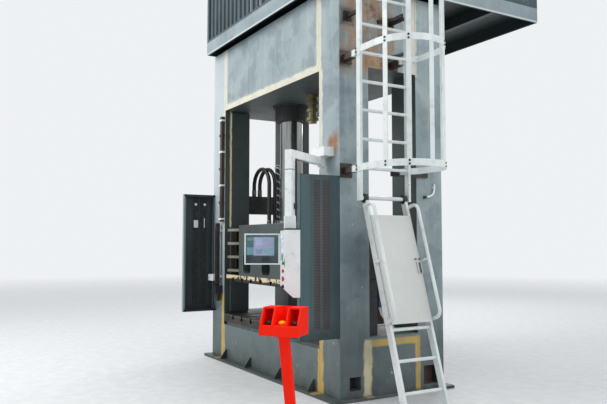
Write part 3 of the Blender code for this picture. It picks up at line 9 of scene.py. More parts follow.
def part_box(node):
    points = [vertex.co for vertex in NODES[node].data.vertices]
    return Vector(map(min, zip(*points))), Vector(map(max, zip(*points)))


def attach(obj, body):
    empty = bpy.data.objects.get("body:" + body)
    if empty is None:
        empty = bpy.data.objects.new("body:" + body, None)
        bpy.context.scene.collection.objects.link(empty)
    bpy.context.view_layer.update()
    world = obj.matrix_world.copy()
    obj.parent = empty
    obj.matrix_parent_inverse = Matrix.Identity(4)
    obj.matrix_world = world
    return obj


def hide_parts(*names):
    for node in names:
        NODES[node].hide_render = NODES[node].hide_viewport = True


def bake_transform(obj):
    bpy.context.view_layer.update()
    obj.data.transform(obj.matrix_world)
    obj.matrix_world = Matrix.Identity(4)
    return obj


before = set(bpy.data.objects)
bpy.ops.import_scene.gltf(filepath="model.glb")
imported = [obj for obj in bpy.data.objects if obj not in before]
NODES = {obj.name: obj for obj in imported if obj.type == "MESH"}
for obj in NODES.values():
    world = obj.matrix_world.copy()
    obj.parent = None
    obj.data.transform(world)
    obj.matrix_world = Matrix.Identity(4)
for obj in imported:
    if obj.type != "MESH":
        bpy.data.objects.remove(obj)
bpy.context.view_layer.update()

SCENE = bpy.context.scene
SCENE.view_settings.view_transform = "Standard"

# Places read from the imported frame, in metres. The press is symmetric in x and y about the origin.
POST_INNER, POST_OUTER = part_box("post_front_right")
BAY_SIDE = POST_INNER.x
FRAME_SIDE = POST_OUTER.x
FRAME_FRONT = -POST_INNER.y
CROWN_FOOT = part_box("crown")[0].z
CROWN_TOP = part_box("crown")[1].z
TABLE_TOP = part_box("table_plate")[1].z
SLIDE_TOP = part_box("slide_body")[1].z
DECK_LOW, DECK_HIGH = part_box("platform_deck")
GUARD_LOW, GUARD_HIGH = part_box("guard_right")
PIVOT = (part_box("pivot_bar")[0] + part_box("pivot_bar")[1]) / 2
LADDER_Y = PIVOT.y


# Camera, light and floor

def put(tree, socket, value):
    """Links a socket or sets a plain value."""
    if isinstance(value, bpy.types.NodeSocket):
        tree.links.new(value, socket)
    else:
        socket.default_value = (*value, 1) if socket.type == "RGBA" else value


def add_node(tree, kind, inputs=None, **options):
    """A shader node with its options set and its inputs linked or filled."""
    node = tree.nodes.new("ShaderNode" + kind)
    for option, value in options.items():
        setattr(node, option, value)
    for socket, value in (inputs or {}).items():
        put(tree, node.inputs[socket], value)
    return node


def make_camera():
    """The photograph's viewpoint: near the floor, to the right of the front, looking a little up."""
    data = bpy.data.cameras.new("camera")
    data.sensor_width = 36.0
    data.lens = 39.318
    data.clip_start = 0.05
    data.clip_end = 200
    camera = bpy.data.objects.new("camera", data)
    SCENE.collection.objects.link(camera)
    camera.location = (6.9453, -4.2165, 1.53)
    forward = Vector((-0.8608, 0.5053, 0.0612))
    camera.rotation_euler = forward.to_track_quat("-Z", "Y").to_euler()
    SCENE.camera = camera


def make_world():
    """An even pale sky that lights the press, and a backdrop for what the camera and shiny things see."""
    world = bpy.data.worlds.new("world")
    SCENE.world = world
    world.use_nodes = True
    tree = world.node_tree
    tree.nodes.clear()
    path = add_node(tree, "LightPath")
    lit = add_node(tree, "Background", {"Color": (0.90, 0.95, 1.0), "Strength": 0.62})
    seen = add_node(tree, "Background", {"Color": (0.86, 0.88, 0.90), "Strength": 1.0})
    sight = path.outputs["Is Camera Ray"]
    for ray in ("Is Glossy Ray", "Is Transmission Ray"):
        sight = add_node(tree, "Math", {0: sight, 1: path.outputs[ray]}, operation="MAXIMUM").outputs[0]
    mix = add_node(tree, "MixShader", {0: sight, 1: lit.outputs[0], 2: seen.outputs[0]})
    add_node(tree, "OutputWorld", {"Surface": mix.outputs[0]})


def make_lamps():
    """A soft key from the upper left of the front and weak fills round it."""
    for name, place, aim, size, power in (
            ("key", (-2.5, -9.0, 8.5), (0, 0, 2.2), 6.0, 760),
            ("fill", (9.5, 1.5, 6.5), (0.5, 0, 2.2), 5.0, 260),
            ("top", (0.0, -1.0, 11.0), (0, 0, 2.0), 7.0, 420),
            ("back", (-6.5, 8.0, 7.0), (0, 0, 2.2), 5.0, 300)):
        data = bpy.data.lights.new(name, "AREA")
        data.size = size
        data.energy = power
        data.color = (1.0, 0.985, 0.96)
        lamp = bpy.data.objects.new(name, data)
        SCENE.collection.objects.link(lamp)
        lamp.location = place
        lamp.rotation_euler = (Vector(aim) - Vector(place)).to_track_quat("-Z", "Y").to_euler()


def make_floor():
    """A pale floor that fades into the backdrop, with the object's shadow on it."""
    radius, fade_start, fade_end = 40, 7.0, 24.0
    below_feet = -0.0005
    mesh = bpy.data.meshes.new("floor")
    bm = bmesh.new()
    bmesh.ops.create_circle(bm, cap_ends=True, segments=96, radius=radius)
    bm.to_mesh(mesh)
    bm.free()
    floor = bpy.data.objects.new("floor", mesh)
    SCENE.collection.objects.link(floor)
    floor.location = (0, 0, below_feet)
    paint = Paint("floor_grey")
    fade = paint.ramp(paint.length(paint.place), fade_start, fade_end)
    speck = paint.noise(7.0, 6, 0.6, low=0.42, high=0.62)
    paint.colour = paint.mix(speck, (0.62, 0.635, 0.65), (0.68, 0.69, 0.70))
    paint.finish(0.55)
    clear = paint.node("BsdfTransparent")
    mix = paint.node("MixShader", {0: fade, 1: paint.shader.outputs[0], 2: clear.outputs[0]})
    paint.tree.links.new(mix.outputs[0], paint.output.inputs["Surface"])
    floor.data.materials.append(paint.material)


# Material helpers. Coordinates are the part's own metres, so marks sit where they belong.

def srgb(red, green, blue):
    """Screen values 0..255 to the linear values that shaders take."""
    def linear(value):
        """One screen value as a linear one."""
        value /= 255
        return value / 12.92 if value <= 0.04045 else ((value + 0.055) / 1.055) ** 2.4
    return linear(red), linear(green), linear(blue)


class Paint:
    """A procedural material under construction, whose colour is laid on coat by coat."""

    def __init__(self, name):
        self.material = bpy.data.materials.new(name)
        self.material.use_nodes = True
        self.tree = self.material.node_tree
        self.tree.nodes.clear()
        self.output = self.node("OutputMaterial")
        self.shader = self.node("BsdfPrincipled")
        self.tree.links.new(self.shader.outputs[0], self.output.inputs["Surface"])
        coordinates = self.node("TexCoord")
        self.place = coordinates.outputs["Object"]
        self.x, self.y, self.z = self.parts(self.place)
        self.wide = self.math("ABSOLUTE", self.x)
        self.deep = self.math("ABSOLUTE", self.y)
        self.facing = dict(zip("xyz", self.parts(coordinates.outputs["Normal"])))
        self.colour = None

    def node(self, kind, inputs=None, **options):
        """A node in this material."""
        return add_node(self.tree, kind, inputs, **options)

    def parts(self, vector):
        """The three parts of a vector."""
        return self.node("SeparateXYZ", {0: vector}).outputs

    def look(self, name, value):
        """Links or sets one of the shader's looks."""
        put(self.tree, self.shader.inputs[name], value)

    def math(self, operation, *values):
        """One step of arithmetic on masks or numbers."""
        return self.node("Math", dict(enumerate(values)), operation=operation).outputs[0]

    def distance(self, first, second):
        """How far two numbers lie apart."""
        return self.math("ABSOLUTE", self.math("SUBTRACT", first, second))

    def length(self, vector):
        """The length of a vector."""
        return self.node("VectorMath", {0: vector}, operation="LENGTH").outputs["Value"]

    def stretched(self, scale, shift=(0, 0, 0)):
        """The place, scaled along each axis and moved."""
        return self.node("Mapping", {"Vector": self.place, "Scale": scale, "Location": shift}).outputs[0]

    def noise(self, scale, detail=4, rough=0.55, low=0.35, high=0.65, stretch=(1, 1, 1), shift=(0, 0, 0)):
        """Fractal noise spread to 0..1 between two thresholds."""
        node = self.node("TexNoise", {"Scale": scale, "Detail": detail, "Roughness": rough,
                                      "Vector": self.stretched(stretch, shift)})
        return self.ramp(node.outputs[0], low, high)

    def ramp(self, value, low, high, start=0.0, end=1.0):
        """Maps low..high to start..end, clamped."""
        inputs = {"Value": value, "From Min": low, "From Max": high, "To Min": start, "To Max": end}
        return self.node("MapRange", inputs, clamp=True).outputs[0]

    def band(self, value, low, high, soft=0.01, ragged=0.0):
        """1 where value lies between low and high, with soft and, if asked, ragged edges."""
        if ragged:
            wobble = self.noise(9.0, 5, 0.6, 0.3, 0.7)
            value = self.math("ADD", value, self.math("MULTIPLY_ADD", wobble, 2 * ragged, -ragged))
        rise = self.ramp(value, low - soft, low + soft)
        fall = self.ramp(value, high - soft, high + soft, 1.0, 0.0)
        return self.math("MULTIPLY", rise, fall)

    def joined(self, operation, masks):
        """Masks taken together, two by two."""
        result = masks[0]
        for mask in masks[1:]:
            result = self.math(operation, result, mask)
        return result

    def every(self, *masks):
        """Set where all masks are set."""
        return self.joined("MULTIPLY", masks)

    def any(self, *masks):
        """Set where one of the masks is set."""
        return self.joined("MAXIMUM", masks)

    def share(self, mask, amount):
        """A mask made weaker or stronger."""
        return self.math("MULTIPLY", mask, amount)

    def mix(self, factor, first, second):
        """One of two colours, or a shade between them."""
        return self.node("Mix", {0: factor, 6: first, 7: second}, data_type="RGBA").outputs[2]

    def shades(self, factor, dark, light):
        """A shade between two screen colours."""
        return self.mix(factor, srgb(*dark), srgb(*light))

    def coat(self, mask, tone, amount=None):
        """Lays a screen colour, or a shade from a node, over the colour so far where the mask is set."""
        if amount is not None:
            mask = self.share(mask, amount)
        self.colour = self.mix(mask, self.colour, srgb(*tone) if isinstance(tone, tuple) else tone)

    def blend(self, factor, first, second):
        """A number between two numbers."""
        return self.node("Mix", {0: factor, 2: first, 3: second}, data_type="FLOAT").outputs[0]

    def grain(self, scale, detail=2):
        """Even fine noise for a bump."""
        return self.noise(scale, detail, 0.5, 0.2, 0.8)

    def relief(self, fine, coarse, weight):
        """A bump of fine grain over coarse dents."""
        return self.math("ADD", self.grain(fine), self.share(coarse, weight))

    def dots(self, tone):
        """Scattered dirt specks."""
        node = self.node("TexVoronoi", {"Scale": 9, "Vector": self.stretched((1, 1, 1))})
        clean = self.ramp(node.outputs["Distance"], 0.03, 0.055)
        self.coat(self.math("SUBTRACT", 1.0, clean), tone, 0.5)

    def finish(self, roughness, metallic=0.0, bump=None, depth=0.002, strength=0.4):
        """Links the colour, the other looks and the bump to the shader and returns the material."""
        self.look("Base Color", self.colour)
        self.look("Roughness", roughness)
        self.look("Metallic", metallic)
        if bump is not None:
            bumps = self.node("Bump", {"Strength": strength, "Distance": depth, "Height": bump})
            self.look("Normal", bumps.outputs[0])
        return self.material


# Materials. Tones are screen colours from 0 to 255.

CREAM = (205, 196, 160)
OCHRE = (190, 160, 84)
PUTTY = (214, 210, 192)
RUST = (142, 84, 38)
DARK_RUST = (70, 44, 30)
BASE_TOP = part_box("base_plate")[1].z
BAY_DEPTH = -POST_OUTER.y
FRAME_FOOT = POST_INNER.z


def on_front(paint):
    """Set on the frame's front and back faces."""
    return paint.ramp(paint.deep, FRAME_FRONT - 0.010, FRAME_FRONT - 0.005)


def on_side(paint):
    """Set on the frame's left and right faces."""
    return paint.ramp(paint.wide, FRAME_SIDE - 0.013, FRAME_SIDE - 0.007)


def frame_paint():
    """Blue-grey enamel with repairs, dirt, painted shade towards the foot, a painted highlight on the left
    front post, putty along the joints, heat tint and painted shade on the inner faces.
    """
    paint = Paint("frame_enamel")
    cloud = paint.noise(1.7, 5, 0.6, 0.36, 0.64)
    paint.colour = paint.shades(cloud, (130, 146, 150), (158, 172, 175))
    scuff = weather_and_light_frame(paint)
    prime_joints(paint)
    burn_frame(paint)
    shade_frame(paint)
    rough = paint.blend(scuff, paint.blend(cloud, 0.42, 0.60), 0.8)
    bump = paint.relief(160, paint.noise(14, 4, 0.6, 0.2, 0.8), 3.0)
    return paint.finish(rough, bump=bump, depth=0.0012, strength=0.35)


def weather_and_light_frame(paint):
    """Cloudy repairs, runs, painted shade that darkens the frame towards its foot, a darker rim on the base
    plate, a painted highlight on the left front post, scuffs and grime. Returns the scuffs.
    """
    patch = paint.noise(4.2, 3, 0.5, 0.52, 0.60, shift=(3, 1, 7))
    paint.coat(patch, (74, 92, 98), 0.28)
    runs = paint.noise(2.2, 5, 0.65, 0.50, 0.72, stretch=(7, 7, 0.5), shift=(0, 5, 0))
    paint.coat(runs, (196, 205, 205), 0.25)
    # Painted shade: the enamel darkens towards the floor, and more strongly at the bed.
    paint.coat(paint.ramp(paint.z, 0.0, 2.6, 1.0, 0.0), (62, 80, 82), 0.42)
    paint.coat(paint.ramp(paint.z, 0.50, 0.90, 1.0, 0.0), (52, 66, 64), 0.60)
    lip = paint.every(paint.ramp(paint.z, BASE_TOP + 0.005, BASE_TOP + 0.001),
                      paint.ramp(paint.deep, FRAME_FRONT + 0.001, FRAME_FRONT + 0.005))
    paint.coat(lip, (30, 40, 40), 0.6)
    # Painted highlight: the left front post's front face is lightened above 0.9 m.
    left_post = paint.every(paint.ramp(paint.x, -1.10, -1.16), paint.ramp(paint.z, 0.9, 1.8),
                            paint.ramp(paint.y, 0.010 - FRAME_FRONT, 0.005 - FRAME_FRONT))
    paint.coat(left_post, (202, 211, 213), 0.62)
    scuff = paint.every(paint.noise(13, 4, 0.7, 0.66, 0.70, stretch=(1, 1, 0.6), shift=(9, 2, 4)),
                        paint.ramp(paint.z, 1.4, 3.4, 0.8, 0.15))
    paint.coat(scuff, (206, 208, 200), 0.7)
    grime = paint.every(paint.ramp(paint.z, 0.02, 0.35, 1.0, 0.0), paint.noise(6, 5, 0.7, 0.30, 0.62))
    paint.coat(grime, (52, 52, 48), 0.6)
    return scuff


def prime_joints(paint):
    """Putty round the crown's joints, ochre and cream primer round the bed's."""
    front, side = on_front(paint), on_side(paint)
    smear = paint.noise(5, 5, 0.65, 0.25, 0.60, shift=(1, 8, 2))
    crown = paint.band(paint.z, CROWN_FOOT - 0.02, CROWN_TOP + 0.01)
    post_joint = paint.every(front, crown,
                             paint.band(paint.wide, BAY_SIDE - 0.024, BAY_SIDE + 0.066, 0.012, 0.012))
    foot_edge = paint.every(front, paint.band(paint.z, CROWN_FOOT - 0.015, CROWN_FOOT + 0.075, 0.012, 0.012),
                            paint.ramp(paint.wide, BAY_SIDE + 0.051, BAY_SIDE + 0.031))
    window = paint.every(front, paint.band(paint.z, 2.3, CROWN_FOOT, 0.02),
                         paint.band(paint.wide, BAY_SIDE - 0.019, BAY_SIDE + 0.093, 0.006, 0.014))
    side_joint = paint.every(side, crown,
                             paint.band(paint.y, BAY_DEPTH - 0.155, BAY_DEPTH + 0.020, 0.012, 0.012))
    putty = paint.any(post_joint, foot_edge, paint.share(window, 0.92), side_joint)
    paint.coat(paint.every(putty, paint.ramp(smear, 0, 1, 0.62, 1.0)), PUTTY)

    bed = paint.band(paint.z, FRAME_FOOT, TABLE_TOP - 0.025, 0.015)
    bed_joint = paint.every(front, paint.band(paint.z, FRAME_FOOT, TABLE_TOP + 0.265, 0.015),
                            paint.band(paint.wide, BAY_SIDE - 0.004, BAY_SIDE + 0.099, 0.008, 0.012))
    upright = paint.band(paint.y, BAY_DEPTH - 0.03, BAY_DEPTH + 0.03, 0.010, 0.008)
    across = paint.every(paint.band(paint.z, TABLE_TOP - 0.10, TABLE_TOP - 0.025, 0.01, 0.008),
                         paint.band(paint.y, 0.005 - BAY_DEPTH, BAY_DEPTH + 0.025))
    primer = paint.any(bed_joint, paint.every(side, bed, paint.any(upright, across)))
    paint.coat(paint.every(primer, paint.ramp(smear, 0, 1, 0.6, 1.0)), OCHRE)
    cream = paint.every(side, bed, paint.band(paint.y, -BAY_DEPTH - 0.07, 0.02 - BAY_DEPTH, 0.012, 0.012))
    paint.coat(paint.every(cream, paint.ramp(smear, 0, 1, 0.7, 1.0)), CREAM)


def burn_frame(paint):
    """Heat marks on the right side, where the ladder's brackets and the swing arm were welded on."""
    front, side = on_front(paint), on_side(paint)
    right = paint.ramp(paint.x, 1.2, 1.5)
    burn = paint.noise(3.4, 5, 0.7, 0.34, 0.62, stretch=(1, 1.6, 0.9), shift=(4, 4, 1))
    heat = paint.every(right, side, paint.band(paint.y, -0.57, 0.02, 0.07, 0.05),
                       paint.band(paint.z, 3.22, 4.14, 0.06), burn)
    streaks = paint.noise(4, 5, 0.7, 0.38, 0.62, stretch=(1, 1, 0.35), shift=(8, 3, 3))
    paint.coat(heat, paint.shades(streaks, (184, 138, 84), (120, 80, 50)))
    for bracket_y, bracket_z in ((-0.60, 3.355), (-0.56, 3.782)):
        away = paint.math("MAXIMUM", paint.distance(paint.z, bracket_z), paint.distance(paint.y, bracket_y))
        halo = paint.every(side, right, paint.ramp(away, 0.17, 0.06), paint.ramp(burn, 0, 1, 0.45, 1.0))
        paint.coat(halo, paint.shades(paint.ramp(away, 0.075, 0.11), (48, 36, 30), (150, 112, 78)), 0.85)
    rust = paint.noise(7, 5, 0.7, 0.50, 0.66, shift=(6, 1, 3))
    core = paint.every(right, side, paint.band(paint.y, -0.36, -0.08, 0.08),
                       paint.band(paint.z, 3.3, 4.1, 0.05), rust)
    paint.coat(core, DARK_RUST, 0.9)
    arm = paint.every(front, paint.ramp(paint.y, 0.1, -0.1), paint.band(paint.x, 1.37, 1.555, 0.03),
                      paint.band(paint.z, 2.40, 2.60, 0.07, 0.04), burn)
    paint.coat(arm, RUST)


def shade_frame(paint):
    """Painted shade on the inner faces and undersides, the cream line on them, knocks and painted shade in the
    holes in the side's foot.
    """
    side = on_side(paint)
    lining = paint.every(paint.ramp(paint.wide, 1.50, 1.45),
                         paint.band(paint.z, TABLE_TOP + 0.005, CROWN_FOOT - 0.005, 0.003),
                         paint.ramp(paint.deep, FRAME_FRONT - 0.005, FRAME_FRONT - 0.010))
    shade = paint.any(paint.ramp(paint.math("MULTIPLY", paint.x, paint.facing["x"]), -0.3, -0.8),
                      paint.ramp(paint.math("MULTIPLY", paint.y, paint.facing["y"]), -0.08, -0.2),
                      paint.every(paint.ramp(paint.z, 0.5, 0.6), paint.ramp(paint.facing["z"], -0.3, -0.8)),
                      lining)
    brown = paint.noise(2.6, 5, 0.7, 0.40, 0.66, shift=(4, 7, 9))
    paint.coat(shade, paint.shades(paint.share(brown, 0.5), (36, 49, 47), (52, 45, 37)), 0.88)
    line = paint.every(paint.band(paint.wide, 1.10, 1.20, 0.004),
                       paint.band(paint.y, -0.588, -0.568, 0.004, 0.006),
                       paint.band(paint.z, SLIDE_TOP - 0.01, CROWN_FOOT))
    paint.coat(line, CREAM, 0.75)
    right = paint.ramp(paint.x, 1.2, 1.5)
    chips = paint.noise(13, 3, 0.6, 0.665, 0.69, shift=(2, 2, 8))
    knock = paint.every(right, side, paint.band(paint.y, -0.63, -0.36, 0.02),
                        paint.band(paint.z, 0.55, 1.8, 0.05), chips)
    paint.coat(knock, (204, 216, 212), 0.85)
    # Painted shade in the holes of the right side's foot, browner towards the back.
    hole = paint.every(paint.ramp(paint.facing["x"], 0.3, 0.8), paint.band(paint.wide, 1.44, 1.566, 0.002),
                       paint.band(paint.z, 0.05, 0.45))
    paint.coat(hole, paint.shades(paint.ramp(paint.y, 0.0, 0.2), (22, 18, 18), (70, 48, 38)))


def slide_paint():
    """The slide: darker, oily paint, greasy brown and olive pockets at its sides with painted shade in their
    hollows, and dust on its top.
    """
    paint = Paint("slide_paint")
    cloud = paint.noise(2.4, 5, 0.6, 0.35, 0.65)
    paint.colour = paint.shades(cloud, (48, 60, 58), (70, 84, 80))
    # Painted shade on the pockets' recessed faces, tinted with the brown and olive of grease.
    pocket = paint.ramp(paint.wide, 0.745, 0.80)
    grease_and_shade = paint.shades(paint.noise(6, 5, 0.7, 0.35, 0.65, shift=(2, 2, 2)), (26, 24, 18), (62, 56, 38))
    inside = paint.ramp(paint.deep, FRAME_FRONT - 0.007, FRAME_FRONT - 0.013)
    paint.coat(paint.every(pocket, inside), grease_and_shade, 0.92)
    rib = paint.every(pocket, paint.ramp(paint.deep, FRAME_FRONT - 0.015, FRAME_FRONT - 0.005),
                      paint.noise(30, 4, 0.7, 0.38, 0.56, shift=(3, 5, 1)))
    paint.coat(rib, (172, 172, 158), 0.85)
    streak = paint.noise(3, 5, 0.65, 0.52, 0.72, stretch=(9, 9, 0.6), shift=(1, 0, 6))
    paint.coat(streak, (34, 34, 30), 0.35)
    top = paint.ramp(paint.z, SLIDE_TOP - 0.012, SLIDE_TOP - 0.002)
    dust = paint.noise(5, 5, 0.7, 0.35, 0.6, shift=(7, 7, 0))
    paint.coat(paint.every(top, paint.share(dust, 0.5)), (120, 118, 104))
    bump = paint.relief(150, paint.noise(12, 4, 0.6, 0.2, 0.8), 3.0)
    return paint.finish(paint.blend(streak, 0.55, 0.3), bump=bump, depth=0.0012, strength=0.35)


def dark_interior(name, light, dark):
    """Oily dark paint on the castings, darkened further as painted shade of the machine's inside."""
    paint = Paint(name)
    # Dark paint deepened as painted shade.
    paint.colour = paint.shades(paint.noise(2.0, 5, 0.6), dark, light)
    oil = paint.noise(3, 5, 0.65, 0.55, 0.75, stretch=(6, 6, 0.5))
    paint.coat(oil, (24, 24, 22), 0.4)
    return paint.finish(paint.blend(oil, 0.6, 0.35), bump=paint.grain(60, 3), depth=0.001, strength=0.3)


def sheet_enamel(paint, dark, light, wear, rubbed):
    """Lays enamel with rubbed patches on sheet metal. Returns the patches."""
    paint.colour = paint.shades(paint.noise(2.6), dark, light)
    rub = paint.noise(3.2, 5, 0.7, 0.56, 0.70, stretch=(2, 2, 0.5), shift=(5, 5, 5))
    paint.coat(rub, rubbed, wear)
    return rub


def sheet_finish(paint, rough):
    """Closes a sheet metal's paint with orange peel and shallow dents."""
    bump = paint.relief(220, paint.grain(7, 3), 2.0)
    return paint.finish(rough, bump=bump, depth=0.0006, strength=0.3)


def sheet_paint(name, light, dark):
    """Slate teal or steel-blue enamel on sheet metal, with rubbed patches and dirt specks."""
    paint = Paint(name)
    rub = sheet_enamel(paint, dark, light, 0.35, (118, 108, 104))
    paint.dots((26, 30, 32))
    return sheet_finish(paint, paint.blend(rub, 0.42, 0.62))


def deck_paint():
    """The platform's blue-grey enamel, with painted shade, near black, on its underside and inner faces, and
    the oil tank's.
    """
    paint = Paint("deck_enamel")
    rub = sheet_enamel(paint, (122, 137, 143), (146, 160, 165), 0.25, (118, 118, 112))
    front, right = DECK_LOW.y, DECK_HIGH.x
    # Painted shade: the deck's underside and inner faces are darkened to near black.
    inside = paint.every(paint.ramp(paint.z, DECK_HIGH.z - 0.011, DECK_HIGH.z - 0.016),
                         paint.ramp(paint.x, right - 0.004, right - 0.011),
                         paint.ramp(paint.y, front + 0.003, front + 0.009))
    under = paint.every(paint.any(paint.ramp(paint.facing["z"], -0.3, -0.8), inside),
                        paint.ramp(paint.z, DECK_HIGH.z + 0.03, DECK_HIGH.z + 0.01))
    paint.coat(under, paint.shades(rub, (28, 40, 40), (44, 50, 46)), 0.95)
    lip = paint.every(paint.ramp(paint.z, DECK_LOW.z + 0.0217, DECK_LOW.z + 0.0177),
                      paint.ramp(paint.facing["z"], -0.6, -0.3),
                      paint.any(paint.ramp(paint.y, front + 0.004, front + 0.001),
                                paint.ramp(paint.x, right - 0.005, right - 0.001)))
    paint.coat(lip, (212, 217, 214), 0.7)
    return sheet_finish(paint, paint.blend(rub, 0.42, 0.62))


GUARD_COLUMNS = ((-0.952, -0.882), (-0.851, -0.772))


def guard_paint():
    """The guards' dark teal enamel: streaked, worn brown round the slots, charcoal on the left guard, with a
    painted highlight along the front and painted shade towards the bottom.
    """
    paint = Paint("guard_enamel")
    cloud = paint.noise(2.2, stretch=(1, 3, 0.35))
    paint.colour = paint.shades(cloud, (44, 64, 68), (62, 88, 92))
    # Painted highlight along the guards' front edge.
    paint.coat(paint.ramp(paint.y, -0.985, -1.0), (84, 116, 118), 0.35)
    streak = paint.noise(3, 5, 0.65, 0.50, 0.70, stretch=(1, 11, 0.5), shift=(3, 3, 3))
    paint.coat(streak, (34, 44, 48), 0.4)
    slotted = paint.every(paint.band(paint.y, GUARD_COLUMNS[0][0], GUARD_COLUMNS[1][1], 0.012),
                          paint.band(paint.z, GUARD_LOW.z + 0.09, GUARD_HIGH.z - 0.04, 0.04))
    worn = paint.noise(3.4, 5, 0.7, 0.30, 0.66, stretch=(1, 1, 0.6), shift=(1, 6, 2))
    paint.coat(paint.every(slotted, paint.ramp(worn, 0, 1, 0.15, 0.60)), (98, 88, 88))
    # Painted shade towards the guards' bottom.
    paint.coat(paint.ramp(paint.z, GUARD_LOW.z + 0.19, GUARD_LOW.z + 0.03), (28, 38, 38), 0.6)
    left = paint.ramp(paint.x, 0, -1)
    paint.coat(left, (38, 44, 49), 0.72)
    rim = paint.every(left, paint.any(paint.ramp(paint.y, GUARD_LOW.y + 0.022, GUARD_LOW.y + 0.016),
                                      paint.ramp(paint.y, -0.672, -0.668)))
    paint.coat(rim, (150, 166, 172), 0.65)
    paint.dots((26, 30, 32))
    return sheet_finish(paint, paint.blend(worn, 0.42, 0.6))


def white_paint(name="white_enamel", tint=(238, 242, 242), soil=0.35, mark=None):
    """Off-white powder coat with handling dirt, small chips and orange peel; mark adds to its colour."""
    shade = 14
    paint = Paint(name)
    paint.colour = paint.shades(paint.noise(3.0), [v - shade for v in tint], tint)
    dirt = paint.noise(9, 6, 0.7, 0.52, 0.74, shift=(2, 9, 4))
    paint.coat(dirt, (142, 140, 128), soil)
    chip = paint.noise(42, 3, 0.6, 0.70, 0.72, shift=(8, 0, 3))
    paint.coat(chip, (92, 84, 74), 0.8)
    if mark:
        mark(paint)
    bump = paint.math("SUBTRACT", paint.grain(260), paint.share(chip, 2.0))
    return paint.finish(paint.blend(dirt, 0.30, 0.55), bump=bump, depth=0.0005, strength=0.25)


def rusty_feet(paint):
    """The ladder's wall brackets: bare steel, burnt where they were welded to the frame."""
    rust = paint.noise(14, 5, 0.7, 0.35, 0.62, shift=(5, 5, 2))
    near_wall = paint.ramp(paint.x, FRAME_SIDE + 0.17, FRAME_SIDE + 0.15)
    paint.coat(near_wall, paint.shades(rust, (26, 24, 23), (62, 45, 36)))


def hook_black(paint):
    """The leaning ladder's hooks round the pivot bar are black."""
    aside, above = paint.math("SUBTRACT", paint.x, PIVOT.x), paint.math("SUBTRACT", paint.z, PIVOT.z)
    away = paint.math("SQRT", paint.math("ADD", paint.math("MULTIPLY", aside, aside),
                                         paint.math("MULTIPLY", above, above)))
    paint.coat(paint.ramp(away, 0.050, 0.046), (32, 33, 35))


def green_bezel(paint):
    """A green collar round the start button."""
    low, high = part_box("start_button")
    node = paint.node("VectorMath", {0: paint.place, 1: (low + high) / 2}, operation="DISTANCE")
    paint.coat(paint.ramp(node.outputs["Value"], 0.043, 0.040), (18, 158, 92))


def brushed_plate():
    """The ladder's cover: pale satin sheet, softly smudged, brushed along its length."""
    paint = Paint("brushed_plate")
    brush = paint.noise(60, 3, 0.6, 0.25, 0.75, stretch=(3, 3, 0.03))
    smudge = paint.noise(3.0, 4, 0.6, 0.35, 0.7, shift=(1, 1, 1))
    paint.colour = paint.shades(brush, (188, 192, 190), (206, 209, 206))
    paint.coat(smudge, (178, 176, 172), 0.35)
    return paint.finish(paint.blend(smudge, 0.36, 0.5), metallic=0.35, bump=brush, depth=0.0003, strength=0.2)


def chrome():
    """Hard chrome with faint rings, an oily coat and a few drips, its colour darkened as a painted reflection
    of a dark hall.
    """
    paint = Paint("chrome_rod")
    rings = paint.noise(40, 3, 0.5, 0.2, 0.8, stretch=(0.2, 0.2, 3))
    oil_and_reflection = paint.noise(3, 5, 0.65, 0.45, 0.7, stretch=(6, 6, 0.35))
    # Painted reflection: the chrome's colour is darkened to stand for the dark surroundings it mirrors,
    # blotched with oil.
    paint.colour = paint.shades(oil_and_reflection, (150, 154, 152), (92, 90, 80))
    rough = paint.math("ADD", paint.blend(oil_and_reflection, 0.10, 0.24), paint.share(rings, 0.04))
    return paint.finish(rough, metallic=1.0, bump=rings, depth=0.0002, strength=0.1)


def tooled(paint, dark, light, stained):
    """Lays bare metal with tool marks and oil stains. Returns both."""
    lines = paint.noise(50, 3, 0.6, 0.2, 0.8, stretch=(0.1, 6, 6))
    stain = paint.noise(4, 6, 0.7, 0.40, 0.66, shift=(3, 3, 3))
    paint.colour = paint.shades(paint.share(lines, 0.5), dark, light)
    paint.coat(stain, stained, 0.6)
    return lines, stain


def machined(name, light, dark, rough=0.36, metallic=0.85):
    """Machined steel or bronze with tool marks, oil stains and specks of rust."""
    stain_share = 0.55
    paint = Paint(name)
    lines, stain = tooled(paint, dark, light, tuple(int(v * stain_share) for v in dark))
    rust = paint.noise(11, 5, 0.7, 0.62, 0.70, shift=(0, 6, 1))
    paint.coat(rust, (112, 84, 56), 0.5)
    metal = paint.blend(rust, metallic, 0.2)
    return paint.finish(paint.blend(stain, rough, rough + 0.22), metallic=metal, bump=lines,
                        depth=0.0004, strength=0.25)


def plate_steel():
    """The slide's and the table's plates: oily black-brown steel, with torn cream tape at the slide's foot."""
    paint = Paint("plate_steel")
    lines, stain = tooled(paint, (34, 31, 27), (66, 62, 54), (24, 20, 16))
    front = paint.ramp(paint.y, 0.0015 - FRAME_FRONT, 0.0002 - FRAME_FRONT)
    tape = paint.every(front, paint.band(paint.z, 1.070, 1.118, 0.004, 0.010),
                       paint.noise(9, 4, 0.7, 0.44, 0.49, stretch=(1, 1, 0.5), shift=(1, 2, 2)))
    paint.coat(tape, (222, 206, 168), 0.9)
    edge = paint.every(front, paint.band(paint.z, TABLE_TOP - 0.010, TABLE_TOP + 0.002, 0.002),
                       paint.noise(9, 4, 0.7, 0.40, 0.6))
    paint.coat(edge, (130, 132, 124), 0.6)
    metal = paint.blend(tape, 0.35, 0.0)
    return paint.finish(paint.blend(stain, 0.45, 0.62), metallic=metal, bump=lines,
                        depth=0.0004, strength=0.25)


